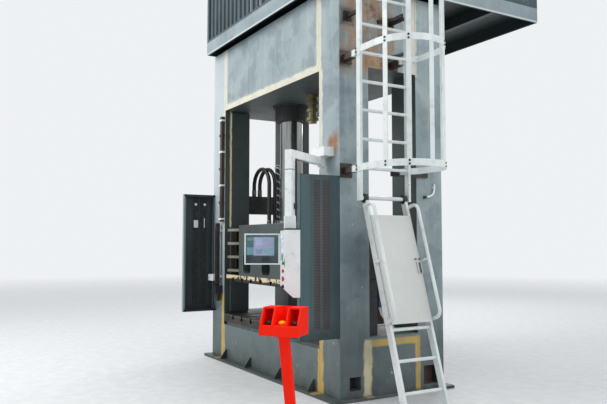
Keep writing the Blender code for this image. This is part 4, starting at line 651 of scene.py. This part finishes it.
def plastic(name, colour, rough=0.45, gloss=0.5, mottled=0.08):
    """Moulded plastic, rubber or enamel: a faint cloud, dust and a fine grain."""
    paint = Paint(name)
    paint.look("Specular IOR Level", gloss)
    base = srgb(*colour)
    shade = tuple(v * (1 - 2.5 * mottled) for v in base)
    paint.colour = paint.mix(paint.noise(6, 4, 0.6, 0.3, 0.7), shade, base)
    dust = paint.noise(17, 5, 0.7, 0.5, 0.8, shift=(5, 1, 1))
    paint.coat(dust, (168, 164, 152), mottled * 1.5)
    dusty = min(1.0, rough + 0.2)
    return paint.finish(paint.blend(dust, rough, dusty), bump=paint.grain(200), depth=0.0004, strength=0.2)


def hose_rubber():
    """Black hose cover with dust on it and the grain of its braid."""
    paint = Paint("hose_rubber")
    dust = paint.share(paint.noise(14, 5, 0.7, 0.45, 0.7), 0.35)
    paint.colour = paint.shades(dust, (22, 23, 24), (78, 76, 70))
    return paint.finish(0.5, bump=paint.grain(300), depth=0.0004, strength=0.3)


def lay_fields(paint, across, up, layout):
    """Lays plain soft-edged fields over the colour: left, right, bottom, top and tone of each."""
    for left, right, bottom, top, tone in layout:
        field = paint.every(paint.band(across, left, right, 0.012), paint.band(up, bottom, top, 0.012))
        paint.coat(field, tone)


def clear_sheet():
    """The clear cover: thin sheet with wipe marks, a dark lower part and the display's pale fields in it."""
    paint = Paint("clear_sheet")
    low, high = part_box("clear_cover_pane")
    across = paint.ramp(paint.y, low.y, high.y)
    up = paint.ramp(paint.z, low.z, high.z)
    wipe = paint.noise(16, 5, 0.65, 0.35, 0.70, stretch=(1, 1, 2))
    paint.colour = paint.shades(paint.ramp(up, 0.2, 0.5), (44, 60, 64), (78, 112, 116))
    lay_fields(paint, across, up, (
        (0.03, 0.30, 0.30, 0.56, (118, 166, 180)), (0.05, 0.22, 0.80, 0.90, (112, 160, 132)),
        (0.24, 0.86, 0.27, 0.92, (178, 186, 220)), (0.30, 0.52, 0.62, 0.84, (196, 200, 232)),
        (0.56, 0.84, 0.34, 0.52, (150, 196, 204)), (0.30, 0.50, 0.34, 0.50, (148, 170, 200))))
    paint.coat(wipe, (104, 130, 138), 0.35)
    seen = paint.any(paint.band(across, 0.22, 0.88, 0.02), paint.ramp(across, 0.34, 0.28))
    lit = paint.every(seen, paint.band(up, 0.26, 0.93, 0.02))
    paint.look("Alpha", paint.blend(lit, 0.55, 0.9))
    paint.look("IOR", 1.45)
    return paint.finish(paint.blend(wipe, 0.08, 0.25))


def display():
    """A lit display with a plain layout of pale and teal fields, with no words."""
    paint = Paint("display")
    low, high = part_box("touch_screen")
    across = paint.ramp(paint.x, low.x, high.x)
    up = paint.ramp(paint.z, low.z, high.z)
    paint.colour = paint.shades(up, (70, 120, 140), (150, 196, 210))
    lay_fields(paint, across, up, (
        (0.06, 0.94, 0.86, 0.96, (210, 226, 234)), (0.06, 0.30, 0.30, 0.80, (96, 140, 150)),
        (0.36, 0.94, 0.30, 0.80, (226, 230, 242)), (0.06, 0.94, 0.06, 0.22, (64, 96, 110)),
        (0.42, 0.62, 0.46, 0.70, (146, 190, 204)), (0.68, 0.88, 0.46, 0.70, (176, 176, 214))))
    paint.look("Emission Color", paint.colour)
    paint.look("Emission Strength", 0.35)
    return paint.finish(0.12)


# Fine pieces

class Solid:
    """Collects small shapes into one mesh."""

    def __init__(self):
        self.bm = bmesh.new()

    def box(self, low, high, turn=None):
        """A box between two corners, optionally moved by a matrix."""
        low, high = Vector(low), Vector(high)
        made = bmesh.ops.create_cube(self.bm, size=1)["verts"]
        size = high - low
        sides = Matrix.Diagonal((abs(size.x), abs(size.y), abs(size.z), 1))
        matrix = Matrix.Translation((low + high) / 2) @ sides
        bmesh.ops.transform(self.bm, matrix=(turn or Matrix.Identity(4)) @ matrix, verts=made)

    def drum(self, start, end, radius, sides=16, end_radius=None):
        """A cylinder or cone from start to end."""
        start, end = Vector(start), Vector(end)
        way = end - start
        end_radius = radius if end_radius is None else end_radius
        made = bmesh.ops.create_cone(self.bm, cap_ends=True, segments=sides, radius1=radius,
                                     radius2=end_radius, depth=way.length)["verts"]
        matrix = Matrix.Translation((start + end) / 2) @ way.to_track_quat("Z", "Y").to_matrix().to_4x4()
        bmesh.ops.transform(self.bm, matrix=matrix, verts=made)

    def bolt(self, place, way, radius, height=None):
        """A hexagon head on a washer, standing along way."""
        height_share, washer_share, washer_radius_share, rim_share = 1.1, 0.25, 1.35, 0.94
        place, way = Vector(place), Vector(way).normalized()
        height = height or radius * height_share
        seat = place + way * height * washer_share
        self.drum(place, seat, radius * washer_radius_share, 14)
        self.drum(seat, place + way * height, radius, 6, radius * rim_share)

    def tube(self, points, radius, sides=14):
        """A round tube along a path, with flat ends."""
        points = [Vector(p) for p in points]
        rings = []
        for point, way, side in framed(points):
            up = way.cross(side)
            rings.append([self.bm.verts.new(point + (side * math.cos(a) + up * math.sin(a)) * radius)
                          for a in (2 * math.pi * k / sides for k in range(sides))])
        for first, second in zip(rings, rings[1:]):
            for k in range(sides):
                self.bm.faces.new((first[k], first[(k + 1) % sides], second[(k + 1) % sides], second[k]))
        self.bm.faces.new(rings[0][::-1])
        self.bm.faces.new(rings[-1])

    def ribbon(self, points, depth, low, high):
        """An upright band along a path of (x, y) points, depth thick in y, between two heights."""
        rows = [[self.bm.verts.new((x, y + shift, z)) for x, y in points]
                for shift, z in ((0, low), (0, high), (depth, high), (depth, low))]
        for first, second in zip(rows, rows[1:] + rows[:1]):
            for k in range(len(points) - 1):
                self.bm.faces.new((first[k], first[k + 1], second[k + 1], second[k]))
        for k in (0, -1):
            self.bm.faces.new([row[k] for row in rows])

    def piece(self, name, material, body, slot, replaces=(), smooth=35, ride=True):
        """Finishes the mesh as a named piece that rides on a body; smooth is an angle in degrees."""
        bmesh.ops.recalc_face_normals(self.bm, faces=self.bm.faces)
        mesh = bpy.data.meshes.new(name)
        self.bm.to_mesh(mesh)
        self.bm.free()
        mesh.materials.append(material)
        if smooth:
            mesh.shade_smooth()
            mesh.set_sharp_from_angle(angle=math.radians(smooth))
        made = bpy.data.objects.new(name, mesh)
        SCENE.collection.objects.link(made)
        if ride:
            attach(made, body)
        if replaces:
            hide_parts(*replaces)
        return made


def framed(points):
    """Each point of a path with its direction and one square to it that twists as little as it can."""
    side = None
    for i, point in enumerate(points):
        way = (points[min(i + 1, len(points) - 1)] - points[max(i - 1, 0)]).normalized()
        side = side or way.orthogonal().normalized()
        side = (side - way * side.dot(way)).normalized()
        yield point, way, side


def along(points):
    """The length of a path."""
    return sum((Vector(b) - Vector(a)).length for a, b in zip(points, points[1:]))


def resampled(points, step):
    """The same path with a point every step."""
    points = [Vector(p) for p in points]
    total = along(points)
    count = max(2, round(total / step))
    result, travelled, index = [], 0.0, 0
    for i in range(count + 1):
        target = total * i / count
        while index < len(points) - 2 and travelled + (points[index + 1] - points[index]).length < target:
            travelled += (points[index + 1] - points[index]).length
            index += 1
        leg = points[index + 1] - points[index]
        result.append(points[index] + leg * ((target - travelled) / leg.length))
    return result


# The hoses' routes: tops of the hose boxes, seats on the slide and the heights of the loops.
HOSE_TOP = 2.1603
HOSE_SEAT = 1.7303
HOSES = (("hose_1", (-1.27, -0.1825), (-0.82, -0.1825), 2.52, 0.0262),
         ("hose_2", (-1.27, -0.0975), (-0.82, -0.0975), 2.52, 0.0262),
         ("spiral_hose", (-1.27, 0.19), (-0.93, 0.0), 2.56, 0.030))


def loop_path(fixed, moving, apex, bend_points=40):
    """The route of a looped hose: up from its box, over, and down to the slide."""
    fixed, moving = Vector(fixed), Vector(moving)
    middle, reach = (fixed + moving) / 2, (moving - fixed) / 2
    shoulder = apex - reach.length
    path = [(*fixed, HOSE_TOP)]
    for i in range(bend_points + 1):
        angle = math.pi * (1 - i / bend_points)
        path.append((*(middle + reach * math.cos(angle)), shoulder + reach.length * math.sin(angle)))
    return path + [(*moving, HOSE_SEAT)]


def spiral_guard(path, radius, wrap):
    """The pale wrap that winds round the spiral hose."""
    pitch, thickness, lift, step, bare_ends = 0.095, 0.012, 0.001, 0.006, 6
    turns = along(path) / pitch
    ring = resampled(path, step)
    helix = []
    for i, (point, way, side) in enumerate(framed(ring)):
        angle = 2 * math.pi * turns * i / (len(ring) - 1)
        helix.append(point + (side * math.cos(angle) - way.cross(side) * math.sin(angle)) * (radius + lift))
    spiral = Solid()
    spiral.tube(helix[bare_ends:-bare_ends], thickness, 8)
    return spiral.piece("spiral_wrap", wrap, "slide", "black_rubber", ride=False)


def hose_fitting(name, place, foot, radius, steel, body):
    """A hexagon nut and a ferrule with a chamfered end at a hose's foot."""
    nut, ferrule, chamfer = 0.022, 0.085, 0.093
    nut_wall, ferrule_wall, end_wall = 0.006, 0.0045, 0.001
    fitting = Solid()
    levels = [Vector((*place, foot + rise)) for rise in (0, nut, ferrule, chamfer)]
    fitting.drum(levels[0], levels[1], radius + nut_wall, 6)
    fitting.drum(levels[1], levels[2], radius + ferrule_wall, 20)
    fitting.drum(levels[2], levels[3], radius + ferrule_wall, 20, radius + end_wall)
    return fitting.piece(name, steel, body, "table_steel")


def make_hoses(rubber, steel, wrap):
    """Two plain loops and one wrapped loop, hung between the frame and the slide."""
    step, blend_height, held = 0.012, 2.3, 0.012
    for node, fixed, moving, apex, radius in HOSES:
        path = resampled(loop_path(fixed, moving, apex), step)
        start, end = Vector((*fixed, blend_height)), Vector((*moving, blend_height))
        solid = Solid()
        solid.tube(path, radius, 20)
        if node == "spiral_hose":
            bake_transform(spiral_guard(path, radius, wrap))
        hose = solid.piece(node + "_cover", rubber, "slide", "black_rubber", (node,), ride=False)
        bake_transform(hose)
        ends = [hose_fitting(f"{node}_fitting_{body}", place, foot, radius, steel, body)
                for body, place, foot in (("frame", fixed, HOSE_TOP), ("slide", moving, HOSE_SEAT))]
        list(fixed)
        along(path)
        [tuple(p) for p in path]


def guard_sheet(side, outer, bottom, top):
    """A sheet guard: a skin with two columns of slots, a shallow box round it and a turned-in lip."""
    skin, depth, lip, pitch, opening = 0.0025, 0.06, 0.03, 0.0145, 0.006
    front, back, low, high = GUARD_LOW.y, GUARD_HIGH.y, GUARD_LOW.z, GUARD_HIGH.z
    inner = outer - side * depth
    under = outer - side * skin
    solid = Solid()
    strips = [front, *GUARD_COLUMNS[0], *GUARD_COLUMNS[1], back]
    for y0, y1 in zip(strips[::2], strips[1::2]):
        solid.box((under, y0, low), (outer, y1, high))
    for y0, y1 in GUARD_COLUMNS:
        previous = low
        for i in range(int((top - bottom) / pitch)):
            z = bottom + (i + 0.5) * pitch
            solid.box((under, y0, previous), (outer, y1, z - opening / 2))
            previous = z + opening / 2
        solid.box((under, y0, previous), (outer, y1, high))
    for width, face in ((skin, outer), (lip, inner + side * skin)):
        for y0, y1, z0, z1 in ((front, front + width, low, high), (back - width, back, low, high),
                               (front, back, low, low + width), (front, back, high - width, high)):
            solid.box((inner, y0, z0), (face, y1, z1))
    return solid


def make_guards(paint, primer, charcoal, pale):
    """The two sheet guards with their linings, dark backing sheets that stand for the shaded space seen
    through the slots; the left one has a handle and small plates inside.
    """
    bottom, top = GUARD_LOW.z + 0.10, GUARD_HIGH.z - 0.045
    lining_near, lining_far, lining_side, lining_end = 0.0035, 0.0045, 0.008, 0.01
    for side, name, lining in ((-1, "left", charcoal), (1, "right", primer)):
        outer = side * FRAME_SIDE
        solid = guard_sheet(side, outer, bottom, top)
        if side < 0:
            wall, reach, y, foot, head = 0.004 - FRAME_SIDE, 0.0375 - FRAME_SIDE, -0.82, 1.69, 1.89
            solid.tube([(wall, y, foot), (reach, y, foot), (reach, y, head), (wall, y, head)], 0.008, 12)
        solid.piece(f"guard_sheet_{name}", paint, "frame", "guard_paint", (f"guard_{name}",), smooth=0)
        # Painted shade: the linings behind the slots stand for the dark space seen through them, brown on the
        # right, charcoal on the left.
        mesh = Solid()
        for y0, y1 in GUARD_COLUMNS:
            mesh.box((outer - side * lining_far, y0 - lining_side, bottom - lining_end),
                     (outer - side * lining_near, y1 + lining_side, top + lining_end))
        mesh.piece(f"guard_lining_{name}", lining, "frame", "guard_paint", smooth=0)
    seat = 0.0035 - FRAME_SIDE
    marks = Solid()
    marks.box((seat, -0.945, 1.735), (seat + 0.0055, -0.885, 1.835))
    marks.box((seat, -0.808, 1.735), (seat + 0.0115, -0.790, 1.865))
    for y in (-0.919, -0.790):
        marks.drum((seat, y, 2.05), (seat + 0.0075, y, 2.05), 0.018, 14)
    marks.piece("guard_plates", pale, "frame", "white_paint")


def make_bolts(dark, steel):
    """Screw heads of the cage, brackets, glands, cylinder caps and rod flanges, and the glands' rings."""
    hoops, others, moving = Solid(), Solid(), Solid()
    cage_x, cage_radius, ladder_x, ladder_half = 2.165, 0.3575, 1.85, 0.354
    for z in (2.235, 3.355, 4.475):
        for angle in (-72, -36, 36, 72):
            way = Vector((math.cos(math.radians(angle)), math.sin(math.radians(angle)), 0))
            for rise in (-0.016, 0.016):
                hoops.bolt(Vector((cage_x, LADDER_Y, z + rise)) + way * cage_radius, way, 0.0075, 0.006)
        for side in (-1, 1):
            for rise in (-0.018, 0.018):
                hoops.bolt((ladder_x, LADDER_Y + side * ladder_half, z + rise), (0, side, 0), 0.008, 0.006)
    gland_foot, cap_top, flange_top = 3.282, 4.63, 1.805
    ring_radius, ring_height = 0.2455, 3.289
    circle = [(math.cos(a), math.sin(a)) for a in (math.radians(7.5 * i) for i in range(49))]
    for name in ("cylinder_left", "cylinder_right"):
        low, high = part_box(name)
        x = (low.x + high.x) / 2
        for i in range(12):
            angle = math.radians(30 * i + 15)
            out = Vector((math.cos(angle), math.sin(angle), 0))
            others.bolt(Vector((x, 0, gland_foot)) + out * 0.2285, (0, 0, -1), 0.0085, 0.009)
            others.bolt(Vector((x, 0, cap_top)) + out * 0.205, (0, 0, 1), 0.016)
            moving.bolt(Vector((x, 0, flange_top)) + out * 0.178, (0, 0, 1), 0.013)
        others.tube([(x + ring_radius * c, ring_radius * s, ring_height) for c, s in circle], 0.0025, 6)
    hoops.piece("cage_bolts", dark, "frame", "dark_steel")
    others.piece("frame_bolts", steel, "frame", "table_steel")
    moving.piece("flange_bolts", steel, "slide", "table_steel")


def make_rib_edges(pale):
    """Rubbed pale edges along the scalloped ribs in the slide's guide pockets."""
    middle, reach, scallop, ribs, steps = 0.916, 0.1735, 0.055, 4, 6
    face, first_rib, rib_pitch, half_rib, thickness = FRAME_FRONT + 0.0002, 1.1703, 0.1749, 0.0165, 0.003
    edges = Solid()
    for i in range(ribs):
        height = first_rib + rib_pitch * i
        for side in (-1, 1):
            for front in (-1, 1):
                points = []
                for k in range(steps + 1):
                    share = -1 + 2 * k / steps
                    depth = scallop * (1 - share * share)
                    points.append((middle * side + reach * share, front * (face - depth)))
                edges.ribbon(points, -front * thickness, height - half_rib, height + half_rib)
    edges.piece("rib_edges", pale, "slide", "table_steel", smooth=0)


def make_post_fittings(white, black):
    """White duct clips, the light curtains' feet and windows, and the left terminal box."""
    clip_back, box_back = -FRAME_FRONT - 0.0007, -FRAME_FRONT - 0.0005
    around, half_clip, half_foot, half_window = 0.0008, 0.012, 0.0131, 0.014
    low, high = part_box("cable_duct")
    clips, feet, windows, left = Solid(), Solid(), Solid(), Solid()
    for z in (1.845, 2.294, 2.743, 3.170):
        clips.box((low.x - around, low.y - around, z - half_clip),
                  (high.x + around, clip_back, z + half_clip))
    for foot_left, foot_right, middle in ((-1.3436, -1.2799, -1.3105), (1.2294, 1.2931, 1.2805)):
        for z in (1.08, 1.69):
            feet.box((foot_left, -0.690, z - half_foot), (foot_right, clip_back, z + half_foot))
        windows.box((middle - half_window, -0.7362, 1.03), (middle + half_window, -0.7352, 1.745))
    left.box((-1.53, -0.745, 1.02), (-1.36, box_back, 1.105))
    clips.piece("duct_clips", white, "frame", "white_paint")
    feet.piece("curtain_feet", white, "frame", "white_paint")
    windows.piece("curtain_windows", black, "frame", "black_rubber")
    left.piece("left_terminal_box", white, "frame", "white_paint")


def make_leads(black):
    """The leads and plug under the left terminal box, and two sagging straps on the right side."""
    leads = Solid()
    leads.tube([(-1.40, -0.70, 1.02), (-1.41, -0.71, 0.94), (-1.36, -0.725, 0.87), (-1.30, -0.75, 0.86)],
               0.010, 10)
    leads.tube([(-1.45, -0.69, 1.02), (-1.46, -0.70, 0.90), (-1.47, -0.69, 0.72), (-1.46, -0.668, 0.62)],
               0.009, 10)
    leads.box((-1.475, -0.70, 0.93), (-1.375, -FRAME_FRONT - 0.0005, 0.985))
    for route, radius in ((((1.580, -0.19, 3.785), (1.602, 0.0, 3.835), (1.590, 0.185, 3.935)), 0.020),
                          (((1.580, -0.01, 3.445), (1.602, 0.09, 3.475), (1.590, 0.195, 3.530)), 0.017)):
        leads.tube(resampled(route, 0.02), radius, 12)
    leads.piece("black_leads", black, "frame", "black_rubber")


def make_upper_brackets(burnt):
    """The ladder's upper wall brackets: a pad with two bolts and a bar each."""
    wall, pad, bar_end = FRAME_SIDE + 0.0002, FRAME_SIDE + 0.015, FRAME_SIDE + 0.225
    apart, half_pad, half_bar = 0.265, 0.045, 0.015
    brackets = Solid()
    for side in (-1, 1):
        y = LADDER_Y + side * apart
        brackets.box((wall, y - half_pad, 3.735), (pad, y + half_pad, 3.830))
        brackets.box((pad, y - half_bar, 3.765), (bar_end, y + half_bar, 3.797))
        for z in (3.752, 3.813):
            brackets.bolt((pad, y, z), (1, 0, 0), 0.008)
    brackets.piece("upper_brackets", burnt, "frame", "table_steel")


def make_bent_pipe(white, black):
    """A thin bent pipe with a black end on the right side."""
    x = FRAME_SIDE + 0.019
    route = ((0.534, 2.15), (0.533, 2.09), (0.522, 2.052), (0.500, 2.030), (0.465, 2.016), (0.425, 2.010))
    pipe, cap = Solid(), Solid()
    pipe.tube([(x, y, z) for y, z in route], 0.011, 12)
    pipe.box((FRAME_SIDE + 0.0002, 0.522, 2.10), (x, 0.546, 2.13))
    cap.drum((x, *route[-1]), (x, 0.393, 2.005), 0.014, 12)
    pipe.piece("bent_pipe", white, "frame", "white_paint")
    cap.piece("bent_pipe_end", black, "frame", "black_rubber")


def make_terminals(black, blue, pale):
    """The rail beside the junction box, its blue terminals and their wires."""
    rail_back, rail_face, block_face, clamp_face = 1.440, 1.452, 1.470, 1.486
    clamps, clamp_pitch, clamp_height, first_clamp = 18, 0.0143, 0.009, 0.874
    rail, strip, wires = Solid(), Solid(), Solid()
    rail.box((rail_back, -0.1545, 0.70), (rail_face, -0.035, 1.14))
    strip.box((rail_face, -0.128, 0.87), (block_face, -0.062, 1.13))
    for i in range(clamps):
        z = first_clamp + clamp_pitch * i
        strip.box((block_face, -0.126, z), (clamp_face, -0.066, z + clamp_height))
    for i in range(4):
        y, drop = -0.122 + 0.018 * i, 0.020 * i
        wires.tube([(1.480, y, 0.872), (1.498, y, 0.845 - drop), (1.500, y + 0.012, 0.800 - drop),
                    (1.486, -0.058, 0.770 - drop), (1.460, -0.040, 0.762 - drop),
                    (1.450, -0.038, 0.760 - drop)], 0.005, 8)
    rail.piece("terminal_rail", black, "frame", "dark_steel")
    strip.piece("terminals", blue, "frame", "black_rubber", smooth=0)
    wires.piece("terminal_wires", pale, "frame", "white_paint")


def make_arm_trim(black):
    """The cable down the drop tube with its clamp, the tube's seam and the seal on the control box."""
    tube = Matrix.Translation((1.7344, -1.30, 0))
    turn = tube @ Matrix.Rotation(math.radians(-24), 4, "Z")
    square = tube @ Matrix.Rotation(math.radians(33.3), 4, "Z")
    cable, seam, seal = Solid(), Solid(), Solid()
    path = [(0.007, 0.058, 1.78), (0.007, 0.061, 1.95), (0.005, 0.059, 2.08), (0.008, 0.062, 2.20),
            (0.006, 0.058, 2.285)]
    cable.tube([turn @ p for p in resampled(path, 0.03)], 0.005, 10)
    cable.box((-0.006, 0.036, 1.835), (0.020, 0.068, 1.885), turn)
    half_seam = 0.0354
    seam.box((-half_seam, -half_seam, 2.188), (half_seam, half_seam, 2.194), square)
    seal.box((0.050, -0.0648, 1.640), (0.2698, 0.0648, 1.654), turn)
    cable.piece("arm_cable", black, "arm", "black_rubber")
    seam.piece("arm_seam", black, "arm", "black_rubber", smooth=0)
    seal.piece("box_seal", black, "pendant", "black_rubber", smooth=0)


def make_ladder_trim(white, black, steel):
    """The lock plate and pins of the ladder's cover, its hinge rail and the screws along it."""
    lean = Matrix.Translation(PIVOT) @ Matrix.Rotation(math.radians(-17), 4, "Y") @ Matrix.Translation(-PIVOT)
    cover, lock_back, lock_face, pin_face, knob_face = 1.8708, 1.8848, 1.8862, 1.8866, 1.880
    lock_y, half_lock, lock_foot, lock_head, latch = -0.0885, 0.0125, 1.205, 1.285, 1.330
    rail_face, screw_face, rail_y = 1.8738, 1.8755, -0.498

    def across(solid, start, end, y, z, radius, sides):
        """A drum square to the ladder."""
        solid.drum(lean @ Vector((start, y, z)), lean @ Vector((end, y, z)), radius, sides)

    plate, pins, rail, screws = Solid(), Solid(), Solid(), Solid()
    plate.box((lock_back, lock_y - half_lock, lock_foot), (lock_face, lock_y + half_lock, lock_head), lean)
    for z in (lock_foot, lock_head):
        across(plate, lock_back, lock_face, lock_y, z, half_lock, 16)
    for z in (1.222, 1.245, 1.268):
        across(pins, lock_face, pin_face, lock_y, z, 0.003, 12)
    for y in (-0.118, -0.072):
        across(pins, cover, knob_face, y, latch, 0.007, 12)
        pins.drum(lean @ Vector((knob_face, y - 0.006, latch)),
                  lean @ Vector((knob_face, y + 0.012, latch + 0.003)), 0.004, 8)
    rail.box((cover, rail_y - 0.012, 0.760), (rail_face, rail_y + 0.012, 1.740), lean)
    for z in (0.800, 0.840, 1.250, 1.600, 1.640, 1.700):
        across(screws, rail_face, screw_face, rail_y, z, 0.006, 10)
    plate.piece("lock_plate", steel, "ladder_plate", "table_steel")
    pins.piece("cover_pins", black, "ladder_plate", "black_rubber")
    rail.piece("cover_rail", white, "ladder_plate", "white_paint")
    screws.piece("cover_screws", black, "ladder_plate", "black_rubber")


# The CAD nodes' finishes

def round_edges(name, width):
    """Breaks a CAD node's sharp edges with modifiers, so that they catch the light."""
    node = NODES[name]
    weld = node.modifiers.new("weld", "WELD")
    weld.merge_threshold = 0.00002
    flat = node.modifiers.new("flat", "DECIMATE")
    flat.decimate_type = "DISSOLVE"
    flat.angle_limit = math.radians(0.6)
    bevel = node.modifiers.new("bevel", "BEVEL")
    bevel.width = width
    bevel.segments = 2
    bevel.limit_method = "ANGLE"
    bevel.angle_limit = math.radians(35)
    bevel.use_clamp_overlap = True
    bevel.harden_normals = False


def dress(material, *names):
    """Gives CAD nodes a material."""
    for name in names:
        NODES[name].data.materials.clear()
        NODES[name].data.materials.append(material)


def corners(name):
    """The four nodes of a name that stand at the corners."""
    return [f"{name}_{end}_{side}" for end in ("front", "back") for side in ("left", "right")]


def dress_frame(guard):
    """The frame, slide, drive and top."""
    dress(frame_paint(), *corners("post"), "crown", "bed", "base_plate")
    dress(slide_paint(), "slide_body")
    dress(guard, "guard_left", "guard_right")
    dress(sheet_paint("slat_enamel", (58, 78, 84), (40, 58, 64)),
          "screen_front", "screen_back", "screen_left", "screen_right_back")
    dress(deck_paint(), "platform_deck", "oil_tank")
    dress(plate_steel(), "table_plate", "slide_plate")
    dress(machined("valve_steel", (128, 126, 116), (82, 82, 76)), "valve_block")
    dress(machined("oiled_bronze", (108, 92, 58), (70, 58, 36)), *corners("guide_shoe"))
    dress(machined("pale_brass", (176, 170, 130), (132, 126, 92), metallic=0.5), "stop_cylinder")
    dress(dark_interior("dark_casting", (40, 44, 46), (26, 28, 30)), "cylinder_left", "cylinder_right")
    dress(chrome(), "rod_left", "rod_right")
    dress(sheet_paint("motor_enamel", (112, 132, 140), (88, 106, 114)), "pump_motor_left", "pump_motor_right")


def dress_access_and_control(white, ladder, black):
    """The ladders, the pendant, the console and the electrics."""
    ladder_tint, ladder_soil = (224, 231, 230), 0.4
    dress(white, "arm_bracket", "swing_arm", "clear_cover_frame")
    dress(white_paint("box_enamel", (240, 244, 244), 0.3, green_bezel), "control_box")
    dress(ladder, "ladder_cage", "pivot_bar")
    dress(white_paint("ladder_enamel_rusty", ladder_tint, ladder_soil, rusty_feet), "ladder_upper")
    dress(white_paint("ladder_enamel_hooks", ladder_tint, ladder_soil, hook_black), "ladder_lower")
    dress(brushed_plate(), "ladder_cover")
    dress(black, "air_unit", "hose_box_back", "hose_box_front", "junction_box", "light_curtain_left",
          "light_curtain_right", "mode_selector", "palm_button_left", "palm_button_right")
    dress(plastic("duct_plastic", (54, 44, 38), 0.6), "cable_duct")
    dress(plastic("signal_red", (255, 34, 4), 0.6, gloss=0.15, mottled=0.02),
          "console_pedestal", "console_tray")
    dress(plastic("button_red", (214, 30, 38), 0.35), "emergency_stop", "stop_button")
    dress(plastic("lamp_green", (20, 160, 90), 0.25), "start_button")
    dress(plastic("signal_yellow", (252, 206, 10), 0.4, gloss=0.3), "console_stop")
    dress(clear_sheet(), "clear_cover_pane")
    dress(display(), "touch_screen")


def make_press():
    """Dresses the CAD nodes and adds the fine pieces."""
    white = white_paint()
    ladder = white_paint("ladder_enamel", (224, 231, 230), 0.4)
    black = plastic("black_plastic", (30, 31, 32), 0.55)
    screw = machined("screw_steel", (136, 136, 130), (80, 80, 76))
    guard = guard_paint()
    pale = plastic("pale_plastic", (220, 222, 216), 0.5)
    rubber = hose_rubber()
    dress_frame(guard)
    dress_access_and_control(white, ladder, black)
    dress(rubber, "hose_1", "hose_2", "spiral_hose")
    make_hoses(rubber, machined("fitting_steel", (150, 152, 150), (96, 98, 96)),
               plastic("wrap_grey", (204, 210, 210), 0.5, mottled=0.1))
    make_guards(guard, plastic("guard_slot_shade_brown", (62, 40, 38), 0.7),
                plastic("guard_charcoal", (30, 35, 38), 0.7), white)
    make_bolts(black, screw)
    make_post_fittings(white, black)
    make_leads(black)
    make_upper_brackets(machined("burnt_steel", (78, 60, 48), (42, 37, 34), rough=0.55, metallic=0.4))
    make_bent_pipe(white, black)
    make_terminals(black, plastic("terminal_blue", (20, 74, 104), 0.5), pale)
    make_rib_edges(machined("rib_edge", (176, 176, 162), (120, 118, 104), metallic=0.2))
    make_arm_trim(black)
    make_ladder_trim(ladder, black, screw)
    for width, names in ((0.005, corners("post")), (0.004, ("crown", "bed", "console_pedestal")),
                         (0.003, ("slide_body", "platform_deck")), (0.006, ("control_box",)),
                         (0.002, ("table_plate", "slide_plate", "swing_arm", "console_tray")),
                         (0.0015, ("ladder_cover",))):
        for name in names:
            round_edges(name, width)


make_camera()
make_world()
make_lamps()
make_floor()
make_press()
